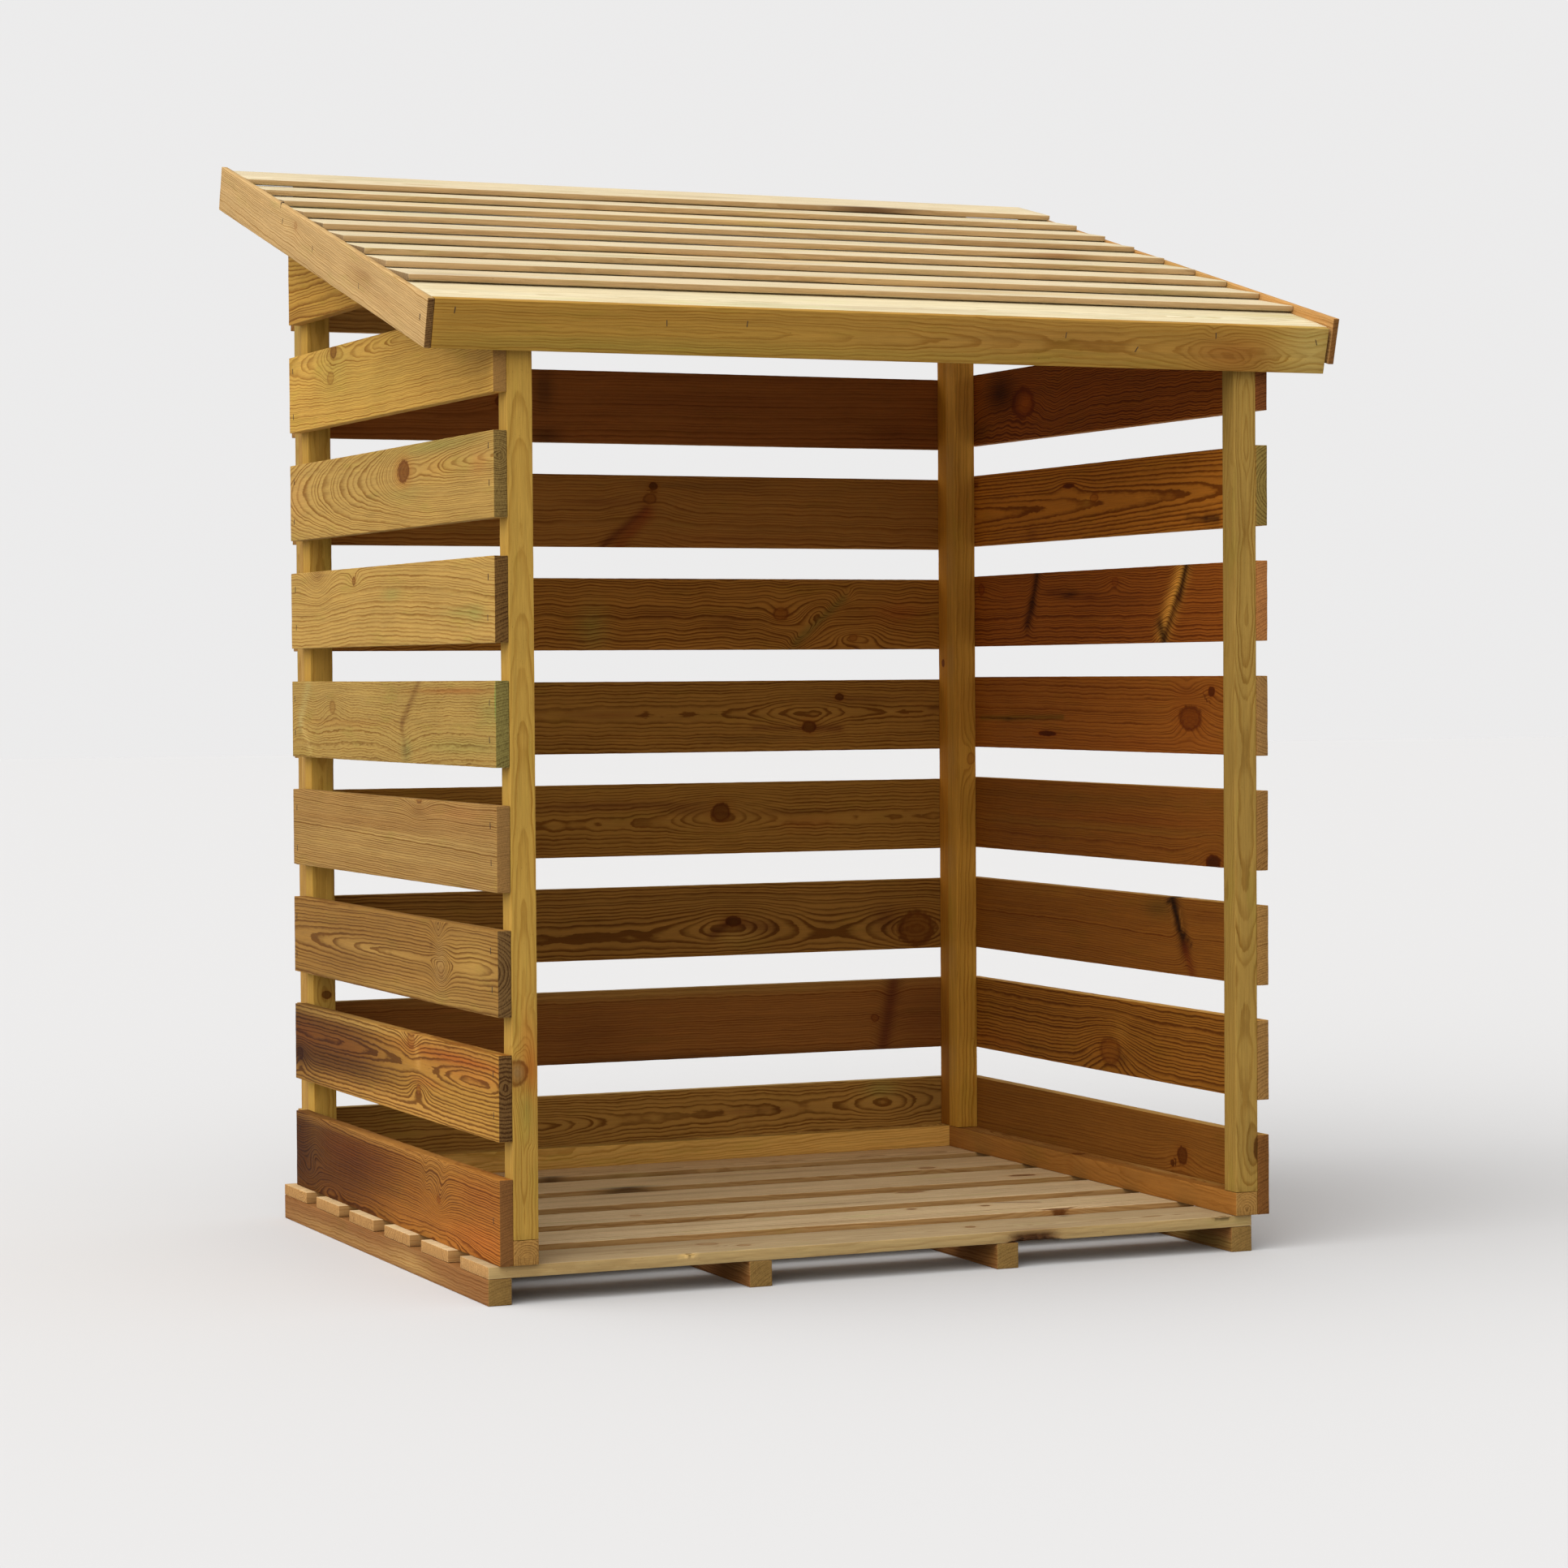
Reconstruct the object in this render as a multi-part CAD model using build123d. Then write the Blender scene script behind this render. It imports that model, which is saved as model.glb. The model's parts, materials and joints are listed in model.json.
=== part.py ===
from build123d import *
import math
import os

os.makedirs("parts", exist_ok=True)

# Log store: slatted sides, back and floor on a light sawn-timber frame, under a sloping louvred roof.
# Millimetres. X runs from left to right seen from the open front, Y to the rear, Z up.
# The construction uses Y = 0 at the front ends of the side panels; the parts are moved to the
# origin, the centre of the outline on the ground, when they are written.

# Body
body_width = 980.0        # across the outer faces of the side slats
side_depth = 788.0        # length of a side panel, front to rear
seat = 0.2                # play between pieces that rest on one another at an angle

# Sawn timber
slat_height = 96.5
slat_thick = 16.0
timber_wide = 30.0        # frame section across the slats
timber_thin = 28.0        # frame section along the slats
floor_thick = 14.0

# Base
bearer_width = 28.0
bearer_height = 30.0
bearer_count = 4
floor_past_left = 12.0    # the floor slats stick out past the left side slats
floor_short_right = 21.0  # and end short of the right side slats' outer face
floor_front = 6.0         # front edge of the floor, behind the side panels' front ends
floor_rear_lap = 15.0     # how far the floor runs under the back panel
floor_slat_count = 6

# Slatted walls
slat_pitch = 138.0
row_count = 9
back_slat_drop = 3.0      # the back slats sit a little lower than the side slats

# Roof tray
roof_slope = 15.6
roof_overhang = 83.0      # side of the roof past the side slats
roof_reach = 14.0         # rear end of the roof past the side panels
roof_play = 0.4           # between the tallest whole side slat and the roof
tray_height = 55.5
barge_thick = 8.0
right_barge_lift = 12.0   # the right barge board stands proud of the tray at its front end
left_barge_lift = 10.0    # the left one at its rear end
fascia_thick = 12.0
fascia_gap = 4.0          # between the fascia's right end and the barge board
roof_slat_width = 96.0
roof_slat_thick = 8.0
least_lap = 10.0          # each louvre laps over the board below it by this much or more
top_slat_tilt = 2.5       # the uppermost louvre lies flatter than the others

# Derived places: body
half_width = body_width / 2
frame_x = half_width - slat_thick
floor_top = bearer_height + floor_thick
rail_top = floor_top + timber_thin
back_face = side_depth + timber_wide
rear_face = back_face + slat_thick
whole_row_top = floor_top + (row_count - 2) * slat_pitch + slat_height

# Derived places: roof
slope_cos = math.cos(math.radians(roof_slope))
slope_sin = math.sin(math.radians(roof_slope))
slope_tan = math.tan(math.radians(roof_slope))
roof_front_y = -seat - fascia_thick * slope_cos - tray_height * slope_sin
roof_front_z = whole_row_top + roof_play + roof_slat_thick / slope_cos + roof_front_y * slope_tan
rail_plane = -roof_slat_thick
roof_inner_x = half_width + roof_overhang - barge_thick
tray_length = (side_depth + roof_reach - roof_front_y) / slope_cos

front_most_y = roof_front_y - right_barge_lift * slope_sin
origin_y = (front_most_y + rear_face) / 2
roof_place = Pos(0, roof_front_y, roof_front_z) * Rot(X=roof_slope)


def lay_louvres():
    """Lower front edge and tilt of each louvre, up the slope.

    The rear edges are evenly spaced. Each louvre drops to the rails at its rear edge and rests
    on the rear edge of the board below; the uppermost lies flatter, on the back top rail.
    """
    first = fascia_thick + roof_slat_width
    top_tilt = math.radians(top_slat_tilt)
    last = tray_length - roof_slat_thick * math.sin(top_tilt)
    count = math.ceil((last - first) / (roof_slat_width - least_lap))
    step = (last - first) / count
    rest = rail_plane + seat
    edge_v, edge_n, below = first, 0.0, 0.0
    places = []
    for index in range(1, count + 1):
        rear = first + index * step
        tilt = math.atan((edge_n + seat - rest) / (rear - edge_v))
        if index == count:
            tilt = top_tilt
        v = rear - roof_slat_width * math.cos(tilt)
        n = edge_n + seat + (edge_v - v) * math.tan(max(tilt, below))
        places.append((v, n, math.degrees(tilt)))
        edge_v = rear + roof_slat_thick * math.sin(tilt)
        edge_n = rest + roof_slat_thick * math.cos(tilt)
        below = tilt
    return places


louvre_places = lay_louvres()


def write(shape, node):
    """Move a finished piece to the origin and write its file."""
    export_step(Pos(0, -origin_y, 0) * shape, f"parts/{node}.step")


def board(x_range, y_range, z_range):
    """Straight sawn piece between two planes along each axis."""
    (x0, x1), (y0, y1), (z0, z1) = x_range, y_range, z_range
    middle = Pos((x0 + x1) / 2, (y0 + y1) / 2, (z0 + z1) / 2)
    return middle * Box(x1 - x0, y1 - y0, z1 - z0)


def mirrored(x_range, side):
    """X limits on the left (-1) or right (1) of the middle."""
    x0, x1 = x_range
    return (x0, x1) if side > 0 else (-x1, -x0)


def roof_line(y, depth):
    """Height of the plane that lies the given depth below the top of the roof tray."""
    return roof_front_z + (y - roof_front_y) * slope_tan - depth / slope_cos


def side_piece(outline, x_range):
    """Piece with an outline drawn in Y and Z, running across in X."""
    x0, x1 = x_range
    face = Plane.YZ.offset(x0) * make_face(Polyline(*outline, close=True))
    return extrude(face, x1 - x0)


def above_rails():
    """Space above the sloping top of the side panels."""
    span = 2 * (side_depth + tray_length)
    return roof_place * board((-span, span), (-span, span), (rail_plane, span))


# Base: bearers from front to rear, slats across them
floor_x = (-half_width - floor_past_left, half_width - floor_short_right)
floor_rear = side_depth + floor_rear_lap


def bearer(index):
    """Bearer on the ground, the outer two flush with the ends of the floor slats."""
    step = (floor_x[1] - floor_x[0] - bearer_width) / (bearer_count - 1)
    x0 = floor_x[0] + index * step
    return board((x0, x0 + bearer_width), (floor_front, floor_rear), (0, bearer_height))


def floor_slat(index):
    """Floor slat lying across the bearers, counted from the front."""
    step = (floor_rear - floor_front - slat_height) / (floor_slat_count - 1)
    y0 = floor_front + index * step
    return board(floor_x, (y0, y0 + slat_height), (bearer_height, floor_top))


# Side panels: a frame of rails and posts with the slats on its outer face
post_x = (frame_x - timber_wide, frame_x)
skin_x = (frame_x, half_width)
top_rail_depth = timber_thin - rail_plane


def side_bottom_rail(side):
    """Rail lying on the floor."""
    return board(mirrored(post_x, side), (0, side_depth), (floor_top, rail_top))


def side_post(side, y0):
    """Post on the bottom rail, its top cut to the slope under the top rail."""
    y1 = y0 + timber_thin
    outline = [
        (y0, rail_top),
        (y1, rail_top),
        (y1, roof_line(y1, top_rail_depth)),
        (y0, roof_line(y0, top_rail_depth)),
    ]
    return side_piece(outline, mirrored(post_x, side))


def side_top_rail(side):
    """Sloping rail that the roof slats lie on, its ends cut plumb."""
    outline = [
        (0, roof_line(0, top_rail_depth)),
        (side_depth, roof_line(side_depth, top_rail_depth)),
        (side_depth, roof_line(side_depth, -rail_plane)),
        (0, roof_line(0, -rail_plane)),
    ]
    return side_piece(outline, mirrored(post_x, side))


def side_slat(side, row):
    """Slat of a side panel, cut to the slope where it meets the roof; row 0 is the lowest."""
    z0 = floor_top + row * slat_pitch
    full = board(mirrored(skin_x, side), (0, side_depth), (z0, z0 + slat_height))
    return full - above_rails()


# Back panel: the same construction behind the side panels' rear posts
back_x = (-frame_x, frame_x)
back_y = (side_depth, back_face)


def back_bottom_rail():
    """Rail across the floor at the rear."""
    return board(back_x, back_y, (floor_top, rail_top))


def back_post(side, top):
    """Post of the back panel, flush with the ends of the back slats."""
    x_range = mirrored((frame_x - timber_thin, frame_x), side)
    return board(x_range, back_y, (rail_top, top))


def back_slat(row):
    """Slat on the rear face of the back panel; row 0 is the lowest."""
    z0 = floor_top + row * slat_pitch - back_slat_drop
    return board(back_x, (back_face, rear_face), (z0, z0 + slat_height))


# Roof tray: drawn flat, with Y up the slope and Z square to it, then set at the slope
def barge_board(side, front_lift, rear_lift):
    """Board along the outer edge of the roof, its ends lifted above the top of the tray."""
    x_range = mirrored((roof_inner_x, roof_inner_x + barge_thick), side)
    level = board(x_range, (0, tray_length), (-tray_height, 0))
    turn = math.degrees(math.atan((rear_lift - front_lift) / tray_length))
    return Pos(0, 0, front_lift) * Rot(X=turn) * level


def fascia_board():
    """Board across the front, flush with the front end of the left barge board."""
    x_range = (-roof_inner_x, roof_inner_x - fascia_gap)
    return board(x_range, (0, fascia_thick), (-tray_height, 0))


def front_board():
    """First roof board, level with the top of the fascia."""
    y_range = (fascia_thick, fascia_thick + roof_slat_width)
    return board((-roof_inner_x, roof_inner_x), y_range, (rail_plane, 0))


def louvre(v, n, tilt):
    """Roof slat with its lower front edge at v up the slope and n above the tray."""
    flat = board((-roof_inner_x, roof_inner_x), (0, roof_slat_width), (0, roof_slat_thick))
    return Pos(0, v, n) * Rot(X=-tilt) * flat


def top_louvre_underside(y):
    """Height of the underside of the uppermost louvre."""
    v, n, tilt = louvre_places[-1]
    edge_y = roof_front_y + v * slope_cos - n * slope_sin
    edge_z = roof_front_z + v * slope_sin + n * slope_cos
    return edge_z + (y - edge_y) * math.tan(math.radians(roof_slope - tilt))


# Write the parts
for index, name in enumerate(("left", "centre_left", "centre_right", "right")):
    write(bearer(index), f"bearer_{name}")

for index in range(floor_slat_count):
    write(floor_slat(index), f"floor_slat_{index + 1}")

for side, name in ((-1, "left"), (1, "right")):
    slats = [side_slat(side, row) for row in range(row_count)]
    write(side_bottom_rail(side), f"{name}_bottom_rail")
    write(side_post(side, 0), f"{name}_front_post")
    write(side_post(side, side_depth - timber_thin), f"{name}_rear_post")
    write(side_top_rail(side), f"{name}_top_rail")
    write(Compound(slats[:-1]), f"{name}_wall_slats")
    write(slats[-1], f"{name}_gable_slat")

back_top = top_louvre_underside(side_depth) - seat
back_rail_z = (back_top - timber_thin, back_top)
write(back_bottom_rail(), "back_bottom_rail")
write(back_post(-1, back_rail_z[0]), "back_left_post")
write(back_post(1, back_rail_z[0]), "back_right_post")
write(board(back_x, back_y, back_rail_z), "back_top_rail")
write(Compound([back_slat(row) for row in range(row_count)]), "back_slats")

write(roof_place * barge_board(-1, 0, left_barge_lift), "barge_board_left")
write(roof_place * barge_board(1, right_barge_lift, 0), "barge_board_right")
write(roof_place * fascia_board(), "fascia_board")
write(roof_place * front_board(), "roof_front_board")
for index, place in enumerate(louvre_places):
    write(roof_place * louvre(*place), f"roof_slat_{index + 1}")
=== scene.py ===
import json
import math
from itertools import combinations

import bpy
import numpy as np
from mathutils import Matrix

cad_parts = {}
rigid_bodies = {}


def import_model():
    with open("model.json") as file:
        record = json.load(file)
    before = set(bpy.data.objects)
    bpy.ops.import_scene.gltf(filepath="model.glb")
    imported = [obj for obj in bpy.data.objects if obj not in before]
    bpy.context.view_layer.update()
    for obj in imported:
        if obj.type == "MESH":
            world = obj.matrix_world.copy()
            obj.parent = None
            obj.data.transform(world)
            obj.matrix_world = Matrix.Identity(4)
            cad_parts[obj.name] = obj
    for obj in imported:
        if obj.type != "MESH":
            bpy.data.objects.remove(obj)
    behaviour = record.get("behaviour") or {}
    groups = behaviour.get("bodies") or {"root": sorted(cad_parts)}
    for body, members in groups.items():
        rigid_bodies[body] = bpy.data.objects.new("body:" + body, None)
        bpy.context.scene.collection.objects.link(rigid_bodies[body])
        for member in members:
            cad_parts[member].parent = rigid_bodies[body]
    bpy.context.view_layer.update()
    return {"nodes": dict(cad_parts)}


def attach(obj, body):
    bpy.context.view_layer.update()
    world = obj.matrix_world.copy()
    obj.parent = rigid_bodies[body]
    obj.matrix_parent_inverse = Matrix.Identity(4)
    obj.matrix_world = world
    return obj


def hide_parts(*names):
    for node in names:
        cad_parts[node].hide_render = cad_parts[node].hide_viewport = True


for spare in list(bpy.data.objects):
    bpy.data.objects.remove(spare, do_unlink=True)
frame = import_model()

MM = 0.001
TURN = 6.28


# ---------------------------------------------------------------- boards
# One entry for each board that the photograph shows closely; what it leaves out is drawn by a seeded chance.
# Lengths are in millimetres on the board: u along it, v across it and w through it, from its lowest corner.
# tone: sRGB colour; tint: what the inner face's linear colour is multiplied by, a board's own tint and, on the back
# and right slats, painted shade
# edge_tone, end_tone, outer: sRGB colours of the edges, the ends and the outer face, which stays free of the inner
# face's painted shade
# end_mark: how dark the rings and the saw hatch are on the ends
# ring: width of a growth ring; fine: how many times closer the rings are; pith: (v, w) of the tree's heart
# lean: how far the heart strays over a metre; calm: how freely it strays; ripple: how wavy the rings are
# contrast: how dark the late wood is; fuzz: how rough the saw left the face; lip: with a rebate under its edge
# arch: (u, rise, half length) where the heart rises; eye: (u, v, half length, half width, spread) of an oval
# bump: (u, v, half length, half width, rings) where a branch pushes the rings out
# seam: (u, v, u, v, half width, rings) where the rings step along a line
# knot: (u, v, half length, half width, depth of colour)
# nick: ((u, v, w), half sizes, depth, colour, strength)
# streak: (u, v, u, v, half width, colour, strength); patch: (u, v, half length, half width, colour, strength)
BOARDS = {}


def board(name, number=0, **facts):
    """Facts for one board of a node, by its number from the lowest."""
    BOARDS[(name, number)] = facts


GREEN = (122, 132, 66)
BROWN = (112, 68, 30)
RED = (156, 84, 34)
DARK = (60, 38, 20)
PALE = (206, 170, 104)
SCAR = (92, 40, 18)
PAINTED_HIGHLIGHT_ROWS = 4  # the lowest slats of the back and the right, whose edges carry a painted highlight


def left(row, **facts):
    board("left_wall_slats", row, **facts)


def back(row, **facts):
    # on the lowest rows the pale edge_tone is a painted highlight along the edges
    edge_tone = (176, 134, 76) if row < PAINTED_HIGHLIGHT_ROWS else (152, 108, 54)
    # the back slats' darker, redder inner tone and tint are painted shade of the shed's inside
    board(
        "back_slats", row, fine=1.15, edge_tone=edge_tone, end_tone=(150, 110, 58), outer=(166, 124, 64), **facts,
    )


def right(row, **facts):
    # on the lowest rows the pale edge_tone is a painted highlight along the edges
    edge_tone = (226, 184, 118) if row < PAINTED_HIGHLIGHT_ROWS else (160, 112, 56)
    # the right slats' tint darkens and reddens their inner face, most on the lowest rows: painted shade
    board("right_wall_slats", row, fine=1.15, edge_tone=edge_tone, outer=(168, 126, 66), **facts)


board(
    "left_gable_slat", tone=(168, 126, 60), tint=(1.14, 1.15, 0.94), end_tone=(140, 104, 56), ring=5.2,
    pith=(150, 30), lean=(0, 0), contrast=0.6, ripple=0.06, eye=[(770, 34, 120, 70, 0.75)],
    bump=[(770, 32, 40, 22, 3), (640, 4, 90, 16, 2)], knot=[(768, 30, 7, 6, 0.35)],
    patch=[(764, 40, 40, 30, BROWN, 0.3), (640, 8, 110, 9, BROWN, 0.45), (700, 60, 90, 16, (184, 146, 78), 0.5)],
)
left(
    7, tone=(178, 138, 68), tint=(1.1, 1.1, 1), end_tone=(146, 108, 58), end_mark=0.25, ring=3.3, fine=1.25,
    pith=(84, 8), lean=(-6, 66), contrast=0.5, bump=[(594, 92, 40, 16, -2.6), (607, 58, 34, 16, -2)],
    knot=[(594, 90, 12, 8, 0.75), (607, 58, 14, 8, 0.4)],
    patch=[(596, 72, 60, 36, GREEN, 0.25), (430, 40, 200, 30, GREEN, 0.12), (594, 90, 26, 10, BROWN, 0.4)],
)
left(
    6, tone=(177, 137, 72), tint=(0.88, 0.94, 0.96), end_tone=(130, 106, 58), end_mark=0.9, ring=2.9, fine=1.3,
    pith=(63, 46), lean=(-12, 100), contrast=0.54, ripple=0.08, arch=[(170, -10, 120)],
    bump=[(320, 66, 66, 25, -5.5)], knot=[(320, 66, 20, 13, 0.85)],
    patch=[(200, 90, 150, 8, GREEN, 0.4), (320, 40, 60, 8, GREEN, 0.25), (50, 62, 28, 12, (180, 112, 52), 0.4),
        (190, 64, 70, 12, (186, 134, 62), 0.5), (320, 66, 30, 18, (176, 110, 52), 0.45),
        (760, 56, 40, 30, (186, 126, 70), 0.3)],
)
left(
    5, tone=(174, 135, 70), tint=(0.93, 0.98, 1.02), end_tone=(108, 78, 40), end_mark=0.9, ring=4.8, fine=1.3,
    pith=(-60, 46), lean=(14, 6), contrast=0.5, ripple=0.06,
    bump=[(672, 100, 44, 36, 6), (330, 80, 330, 90, -3.4), (0, 104, 60, 30, 2)],
    patch=[(668, 92, 26, 9, BROWN, 0.45), (370, 61, 34, 7, GREEN, 0.4), (66, 33, 34, 10, GREEN, 0.4),
        (120, 36, 60, 5, GREEN, 0.3)],
)
left(
    4, tone=(168, 131, 70), tint=(0.83, 0.89, 0.86), end_tone=(124, 112, 60), end_mark=0.7, ring=4.2, fine=1.25,
    pith=(-70, 44), lean=(-6, 10), contrast=0.5, ripple=0.1, fuzz=0.8,
    bump=[(752, 46, 40, 34, -2.2), (540, 40, 180, 40, -1.6), (332, 26, 50, 30, 2.2), (200, 30, 150, 30, -1.2)],
    nick=[((0, 74, 12), (3, 24, 20), 0, (104, 128, 62), 0.9)],
    streak=[(266, 98, 334, 46, 7, BROWN, 0.55), (334, 46, 322, 14, 6, BROWN, 0.35), (752, 46, 708, 8, 6, PALE, 0.45),
        (752, 48, 716, 92, 12, (186, 166, 108), 0.35)], patch=[(318, 14, 20, 13, (122, 116, 64), 0.6),
        (752, 40, 9, 12, (112, 96, 56), 0.5), (560, 46, 190, 5, (160, 108, 50), 0.4),
        (140, 84, 150, 3, (150, 84, 36), 0.7), (120, 22, 150, 8, GREEN, 0.3), (20, 60, 40, 20, GREEN, 0.3),
        (560, 76, 170, 18, (178, 142, 84), 0.3)],
)
left(
    3, tone=(172, 129, 72), tint=(0.75, 0.8, 0.8), end_tone=(140, 104, 58), end_mark=0.3, ring=3.4, fine=1.3,
    pith=(-90, 34), lean=(20, 0), contrast=0.6, ripple=0.06,
    bump=[(272, 102, 46, 30, 5), (120, 100, 90, 26, 1.2), (560, 104, 200, 30, 2)], knot=[(272, 96, 9, 4, 0.7)],
    patch=[(276, 82, 34, 7, BROWN, 0.35), (400, 64, 420, 8, (150, 100, 50), 0.4),
        (400, 48, 420, 7, (196, 156, 92), 0.5), (400, 28, 420, 6, (192, 152, 88), 0.4),
        (120, 84, 130, 9, (174, 112, 60), 0.45), (620, 90, 200, 6, (160, 112, 58), 0.3)],
)
left(
    2, tone=(158, 114, 60), tint=(0.74, 0.76, 0.63), end_tone=(112, 84, 48), end_mark=0.8, ring=4.8, fine=1.2,
    pith=(49, 3.4), lean=(-2, 40), contrast=0.68, calm=0.3, ripple=0.05,
    bump=[(197, 37, 26, 22, -4.5), (205, 84, 24, 18, 3), (150, 62, 40, 20, 1.4)], seam=[(208, 96, 204, 60, 9, 1.2)],
    knot=[(197, 38, 8, 8, 0.25)], patch=[(198, 44, 18, 26, (168, 130, 84), 0.7),
        (208, 90, 10, 12, (150, 112, 66), 0.5), (120, 61, 22, 5, BROWN, 0.3), (232, 66, 5, 4, BROWN, 0.6),
        (560, 72, 260, 14, BROWN, 0.2), (420, 90, 420, 5, BROWN, 0.25), (430, 48, 150, 6, (190, 146, 84), 0.6),
        (80, 56, 90, 30, (184, 142, 78), 0.65), (300, 24, 160, 7, (178, 132, 74), 0.45),
        (620, 20, 200, 20, BROWN, 0.25), (250, 6, 300, 8, PALE, 0.25)],
)
# the pale strokes along this slat's top and lower edges are wear with a painted highlight
left(
    1, tone=(168, 126, 62), tint=(0.92, 0.87, 0.66), end_tone=(108, 78, 42), end_mark=0.9, ring=4.9, fine=1.1,
    pith=(61, 11.5), lean=(2, -37), contrast=0.95, calm=0.3, ripple=0.05, arch=[(60, -22, 130)],
    bump=[(309, 92, 30, 20, 3), (282, 32, 30, 14, 3.4), (764, 30, 30, 18, 3.4)],
    knot=[(309, 88, 14, 9, 0.45), (282, 32, 8, 6, 0.7), (766, 34, 12, 8, 0.8)],
    streak=[(296, 92, 282, 62, 8, (178, 134, 76), 0.7)], patch=[(790, 50, 210, 90, (56, 32, 10), 0.95),
        (590, 56, 230, 70, (98, 58, 24), 0.85), (180, 82, 170, 20, (150, 90, 38), 0.7), (766, 34, 36, 16, DARK, 0.6),
        (740, 62, 60, 16, (120, 66, 30), 0.5), (590, 60, 130, 12, (138, 84, 38), 0.5), (120, 80, 170, 6, RED, 0.7),
        (90, 62, 90, 8, RED, 0.35), (520, 92, 300, 5, PALE, 0.45), (400, 9, 420, 12, (184, 138, 76), 0.8),
        (600, 38, 200, 9, DARK, 0.35), (250, 44, 60, 6, RED, 0.4), (60, 66, 50, 5, (176, 116, 56), 0.5),
        (640, 52, 200, 40, (72, 42, 16), 0.4)],
)
# the pale stroke along this slat's top edge is wear with a painted highlight
left(
    0, tone=(152, 100, 46), tint=(0.9, 0.87, 0.6), end_tone=(120, 80, 42), end_mark=0.3, ring=3.7, fine=1.3,
    pith=(-60, 50), lean=(30, 10), contrast=0.75, ripple=0.08,
    bump=[(215, 46, 40, 24, 4.2), (200, 12, 130, 14, -3.6), (470, 14, 130, 16, -3), (700, 60, 34, 30, -3.4),
        (730, 24, 36, 16, 4), (640, 12, 50, 12, -3.4)],
    seam=[(262, 94, 258, 60, 10, 1.6), (190, 92, 208, 52, 12, 1.8)], knot=[(212, 50, 6, 4, 0.6)],
    patch=[(770, 50, 230, 90, (46, 22, 6), 0.95), (540, 46, 190, 80, (94, 50, 17), 0.85),
        (235, 78, 56, 20, (138, 98, 54), 0.55), (290, 46, 80, 16, (150, 94, 44), 0.5),
        (250, 20, 250, 14, (168, 108, 54), 0.6), (60, 20, 120, 22, (176, 100, 46), 0.7),
        (60, 66, 90, 24, (156, 88, 42), 0.5), (760, 60, 60, 50, (64, 34, 14), 0.5),
        (700, 70, 40, 40, (104, 78, 44), 0.35), (520, 68, 180, 16, (96, 48, 22), 0.6),
        (460, 93, 360, 4, (176, 128, 74), 0.8), (620, 30, 120, 12, (86, 50, 26), 0.4),
        (590, 46, 190, 46, (76, 40, 13), 0.35)],
)
back(
    0, tone=(150, 102, 44), tint=(1.04, 1.18, 1.25), ring=5, pith=(60, 14), lean=(10, 30), contrast=0.7,
    bump=[(832, 66, 60, 26, -3.5), (344, 54, 60, 24, -3)], knot=[(834, 66, 7, 6, 0.3)],
    patch=[(638, 63, 70, 5, SCAR, 0.4), (828, 84, 24, 12, GREEN, 0.3), (900, 70, 60, 40, DARK, 0.3)],
)
back(
    1, tone=(148, 88, 34), tint=(0.73, 0.83, 0.95), ring=3.6, pith=(-80, 40), lean=(0, 0), contrast=0.45,
    seam=[(849, 98, 830, 2, 14, 2)], knot=[(820, 44, 6, 5, 0.6)], streak=[(849, 96, 832, 2, 11, SCAR, 0.75)],
    patch=[(900, 40, 60, 60, SCAR, 0.4), (500, 92, 340, 8, (176, 128, 60), 0.6), (500, 2, 420, 5, DARK, 0.5),
        (400, 40, 120, 30, SCAR, 0.2)],
)
back(
    2, tone=(152, 102, 42), tint=(0.78, 0.84, 0.85), ring=5, pith=(30, 22), lean=(0, 20), contrast=0.7,
    bump=[(609, 45, 70, 30, -3.5), (884, 26, 50, 30, -4), (750, 40, 50, 26, 1.2)],
    knot=[(609, 46, 11, 7, 0.95), (884, 28, 27, 23, 0.75)],
    streak=[(600, 44, 578, 28, 7, SCAR, 0.6), (620, 42, 668, 36, 8, SCAR, 0.5)],
    patch=[(838, 42, 22, 20, SCAR, 0.5), (615, 22, 30, 12, (176, 128, 60), 0.5)],
)
back(
    3, tone=(150, 100, 40), tint=(0.93, 1.02, 1), ring=4.8, pith=(44, 14), lean=(4, -14), contrast=0.6,
    bump=[(592, 56, 60, 26, -4.5)], knot=[(592, 56, 13, 12, 0.85)],
    patch=[(430, 68, 130, 6, SCAR, 0.5), (540, 60, 40, 8, SCAR, 0.4), (700, 55, 90, 4, SCAR, 0.35),
        (720, 40, 40, 10, (150, 84, 34), 0.4), (300, 14, 60, 10, SCAR, 0.3)],
)
back(
    4, tone=(152, 104, 42), tint=(0.98, 1, 1), ring=5, pith=(52, 12), lean=(0, -10), contrast=0.65,
    bump=[(715, 54, 66, 26, -3), (723, 33, 30, 12, -2)], knot=[(723, 33, 10, 8, 0.9), (769, 73, 6, 5, 0.9)],
    streak=[(735, 31, 770, 30, 5, SCAR, 0.6), (640, 32, 712, 31, 3, SCAR, 0.5)],
    patch=[(430, 52, 60, 5, SCAR, 0.4), (800, 70, 80, 5, SCAR, 0.35), (620, 18, 90, 4, DARK, 0.3),
        (920, 56, 20, 5, SCAR, 0.5)],
)
back(
    5, tone=(154, 94, 36), tint=(1.14, 1.36, 1.35), ring=4.4, pith=(-50, 40), lean=(14, 0), contrast=0.7, ripple=0.3,
    bump=[(700, 24, 40, 24, 2.6), (745, 46, 30, 20, -3), (815, 30, 70, 30, -3.6), (880, 46, 40, 20, 2)],
    seam=[(700, 6, 782, 74, 9, 2.6)], streak=[(704, 10, 776, 70, 6, (92, 84, 36), 0.45)],
    patch=[(510, 48, 60, 7, SCAR, 0.35), (600, 36, 30, 10, SCAR, 0.3), (408, 30, 20, 30, GREEN, 0.25),
        (860, 50, 40, 16, (150, 70, 26), 0.5)],
)
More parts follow.
